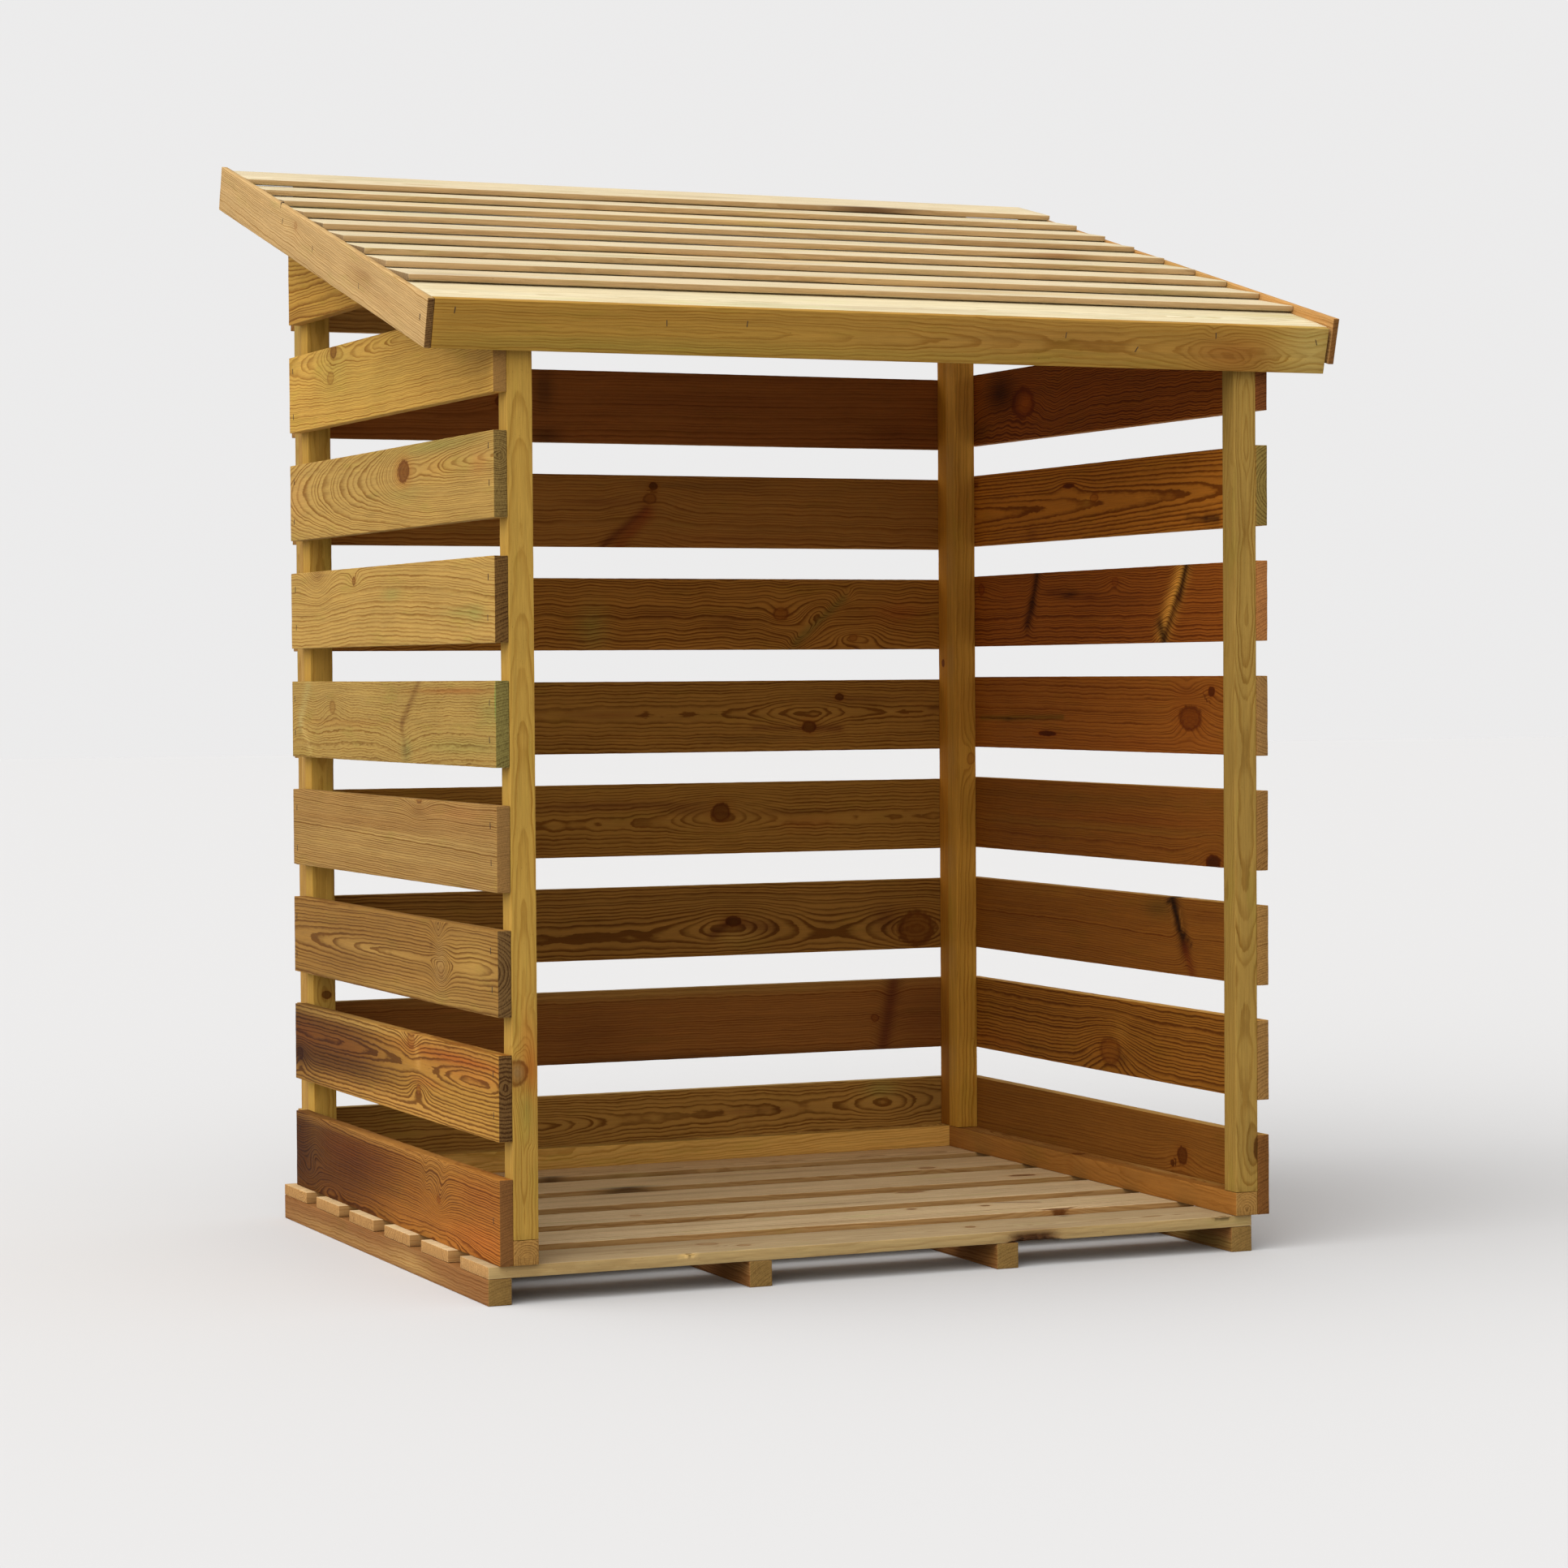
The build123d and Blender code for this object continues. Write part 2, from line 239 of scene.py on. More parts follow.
back(
    6, tone=(148, 92, 38), tint=(1.14, 1.32, 1.35), ring=4.6, pith=(-60, 46), lean=(-10, 0), contrast=0.5,
    bump=[(492, 64, 50, 26, -3), (470, 4, 60, 30, -3)], knot=[(492, 65, 9, 7, 0.6), (497, 82, 6, 5, 0.9)],
    streak=[(424, 2, 486, 50, 6, SCAR, 0.8), (446, 2, 490, 46, 9, (130, 58, 22), 0.7)],
    patch=[(420, 60, 50, 5, SCAR, 0.4), (560, 84, 90, 6, DARK, 0.3), (600, 10, 140, 8, (150, 84, 34), 0.4)],
)
back(
    7, tone=(146, 84, 34), tint=(0.94, 1.02, 1.15), ring=4.2, pith=(-40, 60), lean=(10, 0), contrast=0.4,
    patch=[(342, 70, 14, 30, DARK, 0.6), (345, 8, 24, 12, DARK, 0.6), (850, 20, 50, 14, SCAR, 0.35),
        (560, 60, 200, 14, SCAR, 0.2), (600, 90, 300, 5, SCAR, 0.3)],
)
right(
    0, tone=(160, 108, 50), tint=(0.56, 0.49, 0.33), end_tone=(118, 76, 36), ring=4, pith=(-60, 50), lean=(0, 0),
    contrast=0.4, bump=[(185, 51, 50, 22, -3)], knot=[(185, 51, 12, 11, 0.85), (210, 39, 5, 4, 0.9)],
    patch=[(150, 36, 80, 6, (180, 124, 60), 0.4)],
)
right(
    1, tone=(158, 108, 48), tint=(0.74, 0.63, 0.38), end_tone=(150, 112, 62), ring=4.6, pith=(-30, 36), lean=(10, 0),
    contrast=0.8, bump=[(373, 30, 70, 40, -5)], knot=[(373, 28, 27, 17, 0.5), (373, 29, 9, 6, 0.4)],
    patch=[(345, 52, 22, 20, (186, 136, 66), 0.5), (340, 20, 18, 8, DARK, 0.4),
        (700, 16, 90, 12, (160, 96, 40), 0.5)],
)
right(
    2, tone=(158, 104, 44), tint=(0.6, 0.51, 0.34), end_tone=(156, 116, 62), ring=3.2, pith=(-90, 40), lean=(10, 0),
    contrast=0.5, knot=[], seam=[(206, 96, 172, 24, 14, -2.6)],
    streak=[(206, 96, 176, 34, 12, (64, 36, 14), 0.85), (210, 96, 196, 70, 5, (28, 14, 6), 0.9),
        (194, 66, 176, 36, 4, (34, 16, 6), 0.9), (214, 78, 188, 74, 2.5, (30, 14, 6), 0.8),
        (206, 62, 178, 52, 2.5, (30, 14, 6), 0.8), (184, 56, 160, 40, 2.5, (44, 20, 8), 0.7),
        (222, 92, 204, 84, 3, (24, 12, 5), 0.9), (190, 80, 182, 58, 2.5, (196, 136, 66), 0.6),
        (176, 34, 158, 4, 9, (120, 54, 22), 0.7), (214, 84, 206, 60, 4, (168, 118, 60), 0.6)],
    patch=[(188, 60, 6, 12, (150, 110, 60), 0.35), (244, 82, 40, 14, (104, 84, 38), 0.7),
        (560, 88, 240, 6, (180, 128, 60), 0.5), (120, 76, 60, 10, SCAR, 0.3)],
)
right(
    3, tone=(152, 98, 42), tint=(0.64, 0.54, 0.34), end_tone=(148, 108, 58), ring=3.8, pith=(-70, 60), lean=(10, 0),
    contrast=0.45, bump=[(106, 4, 46, 34, -5)], knot=[(105, 6, 17, 9, 1)],
    patch=[(420, 76, 340, 8, (116, 88, 36), 0.3), (300, 50, 200, 8, (146, 80, 34), 0.4),
        (420, 40, 340, 5, GREEN, 0.15)],
)
right(
    4, tone=(158, 98, 42), tint=(0.83, 0.71, 0.44), end_tone=(150, 112, 64), ring=4.2, pith=(140, 46), lean=(14, 0),
    contrast=0.52, bump=[(161, 43, 40, 24, 5), (108, 77, 26, 14, 2), (172, 78, 30, 12, -2)],
    knot=[(161, 44, 27, 15, 0.75), (108, 77, 8, 6, 0.95), (546, 21, 24, 3.4, 1)],
    streak=[(742, 40, 500, 43, 3.5, (96, 84, 32), 0.6)], patch=[(660, 39, 16, 3, DARK, 0.6),
        (172, 78, 24, 9, (120, 60, 24), 0.4), (300, 10, 200, 10, (140, 72, 30), 0.3)],
)
right(
    5, tone=(152, 88, 38), tint=(0.94, 0.83, 0.46), end_tone=(166, 110, 60), ring=3.8, pith=(-60, 50), lean=(8, 0),
    contrast=0.7, seam=[(574, 94, 602, 28, 12, -2), (180, 94, 236, 6, 16, -2.6)],
    streak=[(573, 94, 588, 56, 8, (60, 28, 12), 0.9), (588, 54, 603, 28, 11, (70, 34, 14), 0.9),
        (180, 88, 230, 12, 15, (240, 178, 96), 0.95), (170, 94, 188, 56, 8, (48, 24, 10), 0.95),
        (192, 56, 226, 6, 8, (78, 40, 14), 0.85), (238, 24, 228, 4, 9, (40, 22, 10), 0.85)],
    patch=[(482, 65, 30, 5, (60, 26, 10), 0.85), (530, 69, 24, 4, SCAR, 0.6), (425, 62, 26, 5, SCAR, 0.6),
        (560, 40, 50, 26, (166, 100, 44), 0.4), (340, 56, 120, 10, SCAR, 0.3)],
)
right(
    6, tone=(154, 94, 40), tint=(1.36, 1.34, 0.7), end_tone=(134, 112, 56), ring=4.4, pith=(44, 26), lean=(-10, -22),
    contrast=0.75, calm=0.25, ripple=0.03, bump=[(482, 72, 40, 12, -1.5)],
    knot=[(482, 70, 15, 3.2, 1), (412, 51, 11, 5, 0.55)], streak=[(168, 16, 120, 13, 3, (50, 22, 10), 0.8),
        (120, 13, 92, 12, 6, (50, 22, 10), 0.85), (782, 84, 752, 84, 5, SCAR, 0.8)],
    patch=[(430, 45, 18, 7, (196, 136, 66), 0.6), (590, 6, 20, 14, SCAR, 0.3)],
)
right(
    7, tone=(140, 80, 34), tint=(1.2, 1.06, 0.62), end_tone=(116, 66, 30), ring=3.4, pith=(-50, 30), lean=(0, 0),
    contrast=0.85, ripple=0.3, bump=[(612, 49, 60, 30, -5), (520, 40, 60, 40, 3), (700, 40, 50, 30, -3)],
    knot=[(612, 49, 32, 20, 0.75)], patch=[(606, 48, 20, 12, (200, 122, 54), 0.8),
        (680, 66, 46, 26, (44, 20, 8), 0.85), (740, 16, 40, 16, DARK, 0.5), (400, 60, 200, 20, SCAR, 0.2)],
)
board(
    "left_front_post", tone=(184, 146, 72), tint=(0.8, 0.78, 0.66), ring=3.4, pith=(15, 16), lean=(3, 42),
    contrast=0.3, calm=0.5, bump=[(186, 6, 34, 17, -4)],
    seam=[(214, 10, 262, 22, 7, 1.6), (158, 10, 110, 22, 7, -1.6)], knot=[(186, 6, 14, 12, 0.72)],
    patch=[(187, 7, 10, 8, (176, 158, 124), 0.8), (190, 22, 40, 9, (176, 98, 38), 0.75),
        (230, 16, 30, 8, (178, 118, 52), 0.4), (146, 18, 28, 9, GREEN, 0.35), (60, 16, 90, 40, BROWN, 0.12)],
)
board(
    "left_rear_post", tone=(170, 132, 58), ring=4.2, pith=(14, -20), lean=(8, 10), contrast=0.35,
    bump=[(218, 18, 30, 14, -2.5)], knot=[(218, 18, 5, 6, 0.9)], patch=[(228, 16, 30, 16, DARK, 0.25)],
)
board(
    "right_front_post", tone=(178, 140, 70), tint=(0.68, 0.69, 0.65), ring=3.6, pith=(15, 14), lean=(4, -46),
    contrast=0.38, calm=0.5, arch=[(820, 10, 90), (560, 9, 80), (260, 8, 70)], bump=[(52, 30, 36, 17, -3.5)],
    knot=[(52, 31, 15, 6, 0.95)],
    patch=[(52, 22, 30, 9, (110, 84, 44), 0.4), (400, 15, 300, 8, (160, 122, 62), 0.3)],
)
# the pale patches brighten this post toward its top: painted light
board(
    "right_rear_post", tone=(172, 124, 58), tint=(1, 1, 0.62), ring=4, pith=(50, 40), lean=(10, 10), contrast=0.4,
    patch=[(1130, 30, 260, 80, (232, 168, 92), 0.85), (560, 30, 240, 80, (184, 126, 60), 0.5)],
)
# the dark patches darken this post toward its foot: painted shade
board(
    "back_right_post", tone=(196, 138, 52), tint=(1, 0.92, 0.66), ring=3.4, pith=(80, 12), lean=(10, 10),
    contrast=0.4, knot=[(640, 16, 5, 4, 0.9)],
    patch=[(40, 15, 330, 80, (112, 66, 24), 0.75), (560, 15, 200, 80, (168, 112, 42), 0.5)],
)
board(
    "fascia_board", tone=(170, 130, 62), tint=(0.9, 0.88, 0.72), ring=4.4, fine=1.2, pith=(26, 9), lean=(-2, 16),
    contrast=0.42, calm=0.6, ripple=0.12, knot=[], arch=[(760, 10, 160), (300, -5, 120)],
    bump=[(1005, 16, 62, 26, -4.2), (1075, 40, 40, 20, 1.6)], seam=[(968, 44, 1046, 10, 9, 1.6)],
    patch=[(1000, 18, 62, 24, (150, 94, 42), 0.8), (740, 28, 240, 32, (150, 108, 60), 0.5),
        (1105, 30, 46, 50, (184, 162, 104), 0.7), (600, 8, 340, 7, GREEN, 0.2), (200, 10, 200, 8, GREEN, 0.25),
        (300, 44, 240, 7, (140, 96, 44), 0.25), (760, 30, 100, 9, (150, 104, 48), 0.3),
        (1075, 20, 20, 16, (188, 152, 78), 0.3)],
)
board(
    "barge_board_left", tone=(182, 149, 100), end_tone=(120, 88, 50), end_mark=0.9, ring=3.4, fine=1.4,
    pith=(-60, 26), lean=(30, 0), contrast=0.55, calm=0.5, bump=[(520, 38, 44, 14, -1.8)],
    knot=[(515, 42, 6, 4, 0.3)], patch=[(250, 30, 44, 14, (140, 100, 58), 0.4),
        (222, 36, 30, 5, (130, 90, 50), 0.35), (150, 20, 40, 10, (150, 105, 60), 0.2),
        (515, 34, 16, 12, (150, 108, 62), 0.25)],
)
board("barge_board_right", tone=(176, 132, 78), ring=3.8, pith=(-40, 30), contrast=0.4)
board(
    "floor_slat_1", tone=(172, 150, 114), edge_tone=(164, 138, 92), end_tone=(178, 136, 84), ring=3.8, pith=(40, 22),
    lean=(0, 30), contrast=0.4, calm=0.6, bump=[(640, 40, 70, 24, -2.6), (250, 30, 120, 24, -2)],
    nick=[((678, 0, 2), (34, 9, 9), 4.5, (70, 36, 18), 0.85), ((240, 0, 14), (9, 4, 4), 1.2, PALE, 0.7),
        ((930, 0, 13), (14, 5, 5), 1.4, BROWN, 0.4)], patch=[(676, 4, 40, 8, BROWN, 0.45),
        (764, 88, 6, 4, DARK, 0.85), (420, 88, 300, 5, BROWN, 0.25), (220, 60, 150, 6, (130, 92, 52), 0.3)],
)
FLOOR = dict(contrast=0.6, fine=1.2, edge_tone=(160, 122, 74), end_tone=(178, 134, 80))
# floor_slat_2 to floor_slat_6 are paler than floor_slat_1: painted light on the inner floor that the roof shades
board(
    "floor_slat_2", tone=(208, 184, 144), **FLOOR, bump=[(784, 4, 60, 16, 3)],
    knot=[(624, 84, 6, 5, 0.9), (718, 72, 6, 5, 0.9), (784, 6, 20, 6, 1)],
    streak=[(730, 100, 791, 72, 4, BROWN, 0.7)],
    patch=[(300, 70, 200, 6, (130, 90, 48), 0.3), (500, 20, 120, 8, (130, 90, 48), 0.3)],
)
board(
    "floor_slat_3", tone=(208, 184, 144), **FLOOR, knot=[(690, 88, 18, 7, 0.8), (300, 40, 7, 6, 0.5)],
    patch=[(520, 30, 200, 7, (126, 86, 46), 0.35)],
)
board(
    "floor_slat_4", tone=(208, 182, 140), **FLOOR, knot=[(892, 33, 18, 8, 0.9)],
    patch=[(400, 60, 200, 8, (122, 80, 42), 0.35)],
)
board(
    "floor_slat_5", tone=(206, 178, 134), **FLOOR,
    patch=[(382, 4, 36, 9, (50, 30, 16), 0.9), (600, 60, 160, 8, (122, 80, 42), 0.35)],
)
board("floor_slat_6", tone=(202, 170, 124), **FLOOR, patch=[(330, 4, 20, 8, (50, 30, 16), 0.9)])
ROOF_MARKS = {
    5: [(980, 4, 46, 7, (126, 72, 40), 0.65), (240, 30, 160, 10, BROWN, 0.25), (700, 50, 120, 14, GREEN, 0.12)],
    9: [(860, 2, 70, 6, (70, 36, 18), 0.85), (620, 40, 90, 10, BROWN, 0.2), (200, 60, 120, 14, GREEN, 0.15)],
}
# the roof slats' and front board's pale tone is partly weathered wood and partly painted sheen on their tops
for row in range(1, 10):
    marks = {"patch": ROOF_MARKS[row]} if row in ROOF_MARKS else {}
    board(
        f"roof_slat_{row}", tone=(202, 188, 158), edge_tone=(176, 146, 104), fine=1.2, contrast=0.42, lip=True,
        knot=[], **marks,
    )
board("roof_front_board", tone=(204, 192, 160), fine=1.2, contrast=0.3, knot=[])
for place in ("left", "centre_left", "centre_right", "right"):
    board(
        f"bearer_{place}", tone=(130, 88, 48), end_tone=(136, 106, 58), end_mark=0.5, ring=3, pith=(-50, 40),
        contrast=0.4, knot=[],
    )
RAIL = dict(ring=3.2, pith=(20, 30), fine=1.1, end_tone=(158, 118, 62), end_mark=0.6)
board("left_bottom_rail", tone=(170, 124, 62), lean=(10, 60), contrast=0.5, **RAIL)
board("right_bottom_rail", tone=(148, 98, 42), lean=(10, 60), contrast=0.5, **RAIL)
board(
    "back_bottom_rail", tone=(196, 150, 76), lean=(20, 44), contrast=0.75, **RAIL,
    patch=[(500, 10, 300, 8, GREEN, 0.3), (300, 30, 220, 8, BROWN, 0.35)],
)

# staples: (u, v, which face: -1 low or 1 high, tilt in radians)
STAPLES = {
    ("fascia_board", 0): [
        (24, 43, -1, 0.1), (273, 36, -1, -0.1), (370, 38, -1, 0.05), (773, 37, -1, 0.1), (868, 23, -1, 0.5),
        (972, 42, -1, -0.1), (1110, 38, -1, -0.4),
    ],
    ("barge_board_left", 0): [
        (439, 28, -1, 0.2), (583, 54, -1, 0.0), (571, 37, -1, -0.2), (22, 30, -1, 0.0), (249, 20, -1, 0.3),
    ],
    ("barge_board_right", 0): [(30, 28, 1, 0.1), (250, 30, 1, 0.0), (450, 26, 1, -0.1), (640, 30, 1, 0.2)],
}
SLAT_STAPLES = (
    ((21, 49), (772, 30), (771, 75)),
    ((17, 29), (18, 74), (772, 26), (770, 72)),
    ((777, 23), (776, 71), (23, 73), (19, 30)),
    ((771, 73), (771, 21), (21, 74), (19, 33)),
    ((21, 31), (20, 72), (776, 74), (775, 31)),
    ((21, 73), (23, 28), (769, 76), (766, 27)),
    ((17, 80), (15, 39), (770, 75), (771, 24)),
    ((771, 78), (770, 20), (14, 50)),
)
BACK_STAPLES = ((18, 26), (20, 74), (928, 28), (931, 71))
for row, marks in enumerate(SLAT_STAPLES):
    STAPLES[("left_wall_slats", row)] = [(u, v, -1, 0.12 * math.sin(7 * u + v)) for u, v in marks]
    STAPLES[("right_wall_slats", row)] = [(u, 100 - v, 1, 0.12 * math.sin(5 * u + v)) for u, v in marks]
    STAPLES[("back_slats", row)] = [(u, v, 1, 0.12 * math.sin(3 * u + v)) for u, v in BACK_STAPLES]

# the slots: usual sRGB tone, what late wood multiplies it by, and mesh steps along and across in millimetres
SLOTS = {
    "base_timber": ((150, 112, 66), (0.64, 0.49, 0.32), (7.0, 5.0)),
    "floor_timber": ((160, 130, 92), (0.68, 0.54, 0.40), (9.0, 5.8)),
    "wall_timber": ((168, 126, 66), (0.64, 0.49, 0.32), (9.0, 5.8)),
    "frame_timber": ((160, 122, 62), (0.68, 0.54, 0.34), (9.0, 5.8)),
    "roof_timber": ((200, 172, 122), (0.76, 0.64, 0.46), (10.0, 7.6)),
}


def slot_of(node):
    """The slot of a node's wood."""
    if node.startswith("bearer"):
        return "base_timber"
    if node.startswith("floor"):
        return "floor_timber"
    if node.startswith(("roof", "barge", "fascia")):
        return "roof_timber"
    return "frame_timber" if "post" in node or "rail" in node else "wall_timber"


# ---------------------------------------------------------------- shapes of the CAD boards
def loose_parts(obj):
    """The separate solids of a node: each a list of (unit normal, distance, area) of its flat sides."""
    obj.data.calc_loop_triangles()
    points = np.array([vertex.co for vertex in obj.data.vertices]) / MM
    first = {}
    same = np.array([first.setdefault(tuple(np.round(p, 2)), i) for i, p in enumerate(points)])
    triangles = same[np.array([triangle.vertices for triangle in obj.data.loop_triangles])]
    part_of, before = same.copy(), None
    while before is None or (part_of != before).any():
        before = part_of.copy()
        np.minimum.at(part_of, triangles, part_of[triangles].min(axis=1, keepdims=True))
    parts = []
    for part in np.unique(part_of[triangles]):
        own = triangles[part_of[triangles[:, 0]] == part]
        middle = points[np.unique(own)].mean(axis=0)
        sides = {}
        for a, b, c in points[own]:
            cross = np.cross(b - a, c - a)
            size = np.linalg.norm(cross)
            normal = cross / size * (1 if cross @ (a - middle) > 0 else -1)
            side = sides.setdefault(tuple(np.round(normal, 3)), [normal, normal @ a, 0.0])
            side[2] += size / 2
        parts.append((middle, list(sides.values())))
    parts.sort(key=lambda part: (round(part[0][2], 1), round(part[0][0], 1), round(part[0][1], 1)))
    return [sides for _, sides in parts]


def upward(normal):
    """The same direction, or its opposite, whichever has its largest number above zero."""
    return normal if normal[np.argmax(np.abs(normal))] > 0 else -normal


def corner_box(sides):
    """A board's eight corners by (end, edge, face), and its directions along, across and through."""
    pairs = [
        (sides[i][2] + sides[j][2], i, j) for i, j in combinations(range(6), 2) if sides[i][0] @ sides[j][0] < -0.999
    ]
    pairs.sort(reverse=True)
    thick = pairs[0][1:]
    wide = next(pair[1:] for pair in pairs[1:] if not set(pair[1:]) & set(thick))
    ends = tuple(i for i in range(6) if i not in thick + wide)
    through = upward(sides[thick[0]][0])
    across = upward(sides[wide[0]][0])
    along = upward(np.cross(across, through))
    planes = [
        sorted((sides[i] for i in pair), key=lambda side: side[0] @ direction)
        for pair, direction in ((ends, along), (wide, across), (thick, through))
    ]
    corners = np.zeros((2, 2, 2, 3))
    for at in np.ndindex(2, 2, 2):
        trio = [planes[n][at[n]] for n in range(3)]
        corners[at] = np.linalg.solve([side[0] for side in trio], [side[1] for side in trio])
    return corners, (along, across, through)


# ---------------------------------------------------------------- the boards' own meshes
ARRIS, ARRIS_SHARE = 0.9, 0.2  # radius of the rounded arris, and its most as a share of the thickness
LIP, LIP_RISE, LIP_SWAY = 6.5, 1.5, 0.8  # width and height of the rebate under a roof board, and how uneven it is
BOW, WANDER, SKEW = 0.5, 0.35, 0.6  # the most that a board bows, wanders and is out of square
SAW_WAVES, SAW_MARKS, FINE_SAW_MARKS = 5, 0.10, 0.03  # how many, how deep, and how deep on a board with a rebate
FINE_SHARE = 0.45  # of a mesh step where a board has a knot, a nick or a rebate
KNOT_LENGTH, KNOT_WIDTH, BUMP_LENGTH, NICK_LENGTH = 3.2, 2.2, 1.1, 1.2  # how far the fine mesh reaches round them
STEEP = 90.0  # a streak shorter than this along the board has a fine mesh too
FAR = 9.0  # knot coordinate of points with no knot near them


def lines(length, step, fine=()):
    """Places of the mesh lines along one direction, with two close to each end for the rounded arris."""
    r = min(ARRIS, length * ARRIS_SHARE)
    marks = [r]
    while marks[-1] < length - r - 1e-6:
        near = any(abs(marks[-1] - place) < reach for place, reach in fine)
        marks.append(marks[-1] + (step * FINE_SHARE if near else step))
    inner = np.array(marks)
    inner = r + (inner - r) * (length - 2 * r) / (inner[-1] - r)
    return np.concatenate([[0.0, r * 0.3], inner, [length - r * 0.3, length]])


def mesh_lines(b, size, steps):
    """Places of the mesh lines along, across and through a board, closer where it has marks."""
    fine_u = [(knot[0], KNOT_LENGTH * knot[2]) for knot in b["knot"]]
    fine_u += [(bump[0], BUMP_LENGTH * bump[2]) for bump in b["bump"] if abs(bump[4]) > 2]
    for u0, _, u1, _, half, *_ in b["streak"]:
        if abs(u1 - u0) < STEEP:
            fine_u.append(((u0 + u1) / 2, abs(u1 - u0) / 2 + half))
    fine_u += [(at[0], NICK_LENGTH * half[0]) for at, half, *_ in b["nick"]]
    fine_v = [(knot[1], KNOT_WIDTH * knot[3]) for knot in b["knot"]]
    if b["lip"]:
        fine_v.append((LIP / 2, LIP))
    steps = (*steps, max(6.0, size[2] / 2.2))
    return [lines(*facts) for facts in zip(size, steps, (fine_u, fine_v, ()))]


def spot(u, v, u0, v0, half_u, half_v):
    """A soft oval on a board: 1 in its middle."""
    return np.exp(-(((u - u0) / half_u) ** 2) - ((v - v0) / half_v) ** 2)


def stroke(u, v, u0, v0, u1, v1, half):
    """A soft straight stroke on a board: 1 along its middle."""
    du, dv = u1 - u0, v1 - v0
    t = np.clip(((u - u0) * du + (v - v0) * dv) / (du * du + dv * dv), 0, 1)
    return np.exp(-((np.hypot(u - u0 - t * du, v - v0 - t * dv) / half) ** 2))


def hollow(box, at, half, reach):
    """A nick's share at each point: 1 in its middle, 0 beyond its reach."""
    return np.clip(reach - (((box - at) / half) ** 2).sum(axis=1), 0, 1)


def rings_at(b, u, v, w):
    """The number of the growth ring at each point of a board."""
    along = (u - b["mid"]) / 1000.0
    stray_v, step_v, turn_v, stray_w, step_w, turn_w = b["stray"]
    pith_v = b["pith"][0] + b["lean"][0] * along + stray_v * np.sin(u / step_v + turn_v)
    pith_w = b["pith"][1] + b["lean"][1] * along + stray_w * np.sin(u / step_w + turn_w)
    for place, rise, half in b["arch"]:
        pith_w = pith_w + rise * np.exp(-(((u - place) / half) ** 2))
    for *place, spread in b["eye"]:
        v = v - (v - place[1]) * spread * spot(u, v, *place)
    phase = np.hypot(v - pith_v, w - pith_w) / b["ring"]
    for size, wave_u, wave_v, wave_w, turn in b["waves"]:
        phase = phase + size * np.sin(u * wave_u + v * wave_v + w * wave_w + turn)
    for *place, rise in b["bump"]:
        phase = phase + rise * spot(u, v, *place)
    for *place, rise in b["seam"]:
        phase = phase + rise * stroke(u, v, *place)
    return phase * b["fine"]


def completed(facts, rng, length, width, slot):
    """A board's facts, with the rest drawn by a seeded chance."""
    draw = rng.uniform

    def either():
        return rng.choice([-1, 1])

    b = dict(facts, mid=length / 2)
    b.setdefault("tone", tuple(np.array(SLOTS[slot][0]) * draw(0.94, 1.05)))
    b.setdefault("ring", draw(3.2, 4.8))
    if draw() < 0.3:
        b.setdefault("pith", (draw(0.2, 0.8) * width, draw(10, 20)))
        b.setdefault("lean", (draw(-6, 6), either() * draw(25, 45)))
        b.setdefault("calm", 0.4)
    b.setdefault("pith", (either() * draw(0.8, 1.1) * width + width / 2, draw(25, 70)))
    b.setdefault("lean", (draw(-20, 20), draw(-20, 20)))
    b.setdefault("contrast", draw(0.35, 0.55))
    b.setdefault("ripple", draw(0.05, 0.14))
    b.setdefault("fuzz", draw(0.1, 0.3))
    for key, usual in (("calm", 1.0), ("fine", 1.0), ("tint", (1.0, 1.0, 1.0)), ("lip", False)):
        b.setdefault(key, usual)
    for key in ("arch", "eye", "bump", "seam", "streak", "nick"):
        b.setdefault(key, [])
    if "patch" not in b:
        b["patch"] = [
            (draw(0, length), draw(0, width), draw(40, 160), draw(0.06, 0.2) * width + 3,
             (GREEN, BROWN, PALE)[rng.integers(3)], draw(0.12, 0.3))
            for _ in range(6)
        ]
    if "knot" not in b:
        b["knot"] = []
        for _ in range(max(1, int(length * width / 45000 * draw(0.5, 1.6)))):
            size = draw(4.5, min(9.5, width * 0.3))
            u, v = draw(0.06, 0.94) * length, draw(0.15, 0.85) * width
            b["knot"].append((u, v, size * draw(1.0, 1.5), size, draw(0.3, 0.8)))
            b["bump"] = b["bump"] + [(u, v, size * 5.5, size * 2.1, either() * draw(2, 3.5))]
    calm, ripple = b["calm"], b["ripple"]
    b["stray"] = (
        calm * draw(0.5, 2.0), draw(90, 200), draw(0, TURN), calm * draw(0.3, 1.2), draw(90, 200), draw(0, TURN),
    )
    b["waves"] = [
        (0.25 * calm, TURN / draw(260, 420), draw(-0.03, 0.03), 0.0, draw(0, TURN)),
        (ripple, TURN / draw(60, 90), draw(-0.05, 0.05), 0.02, draw(0, TURN)),
        (ripple * 0.6, TURN / draw(28, 44), draw(-0.08, 0.08), 0.03, draw(0, TURN)),
    ]
    shade = np.array((0.74, 0.66, 0.56)) * draw(0.85, 1.1)
    b.setdefault("end_tone", tuple(np.array(b["tone"]) * shade))
    b.setdefault("end_mark", draw(0.3, 0.7))
    return b


def rounded(box, size):
    """The points of a box with its arrises rounded, and the outward direction at each."""
    r = min(ARRIS, size[2] * ARRIS_SHARE)
    inner = np.clip(box, r, size - r)
    away = box - inner
    out = away / np.maximum(np.linalg.norm(away, axis=1), 1e-9)[:, None]
    return inner + out * r, out


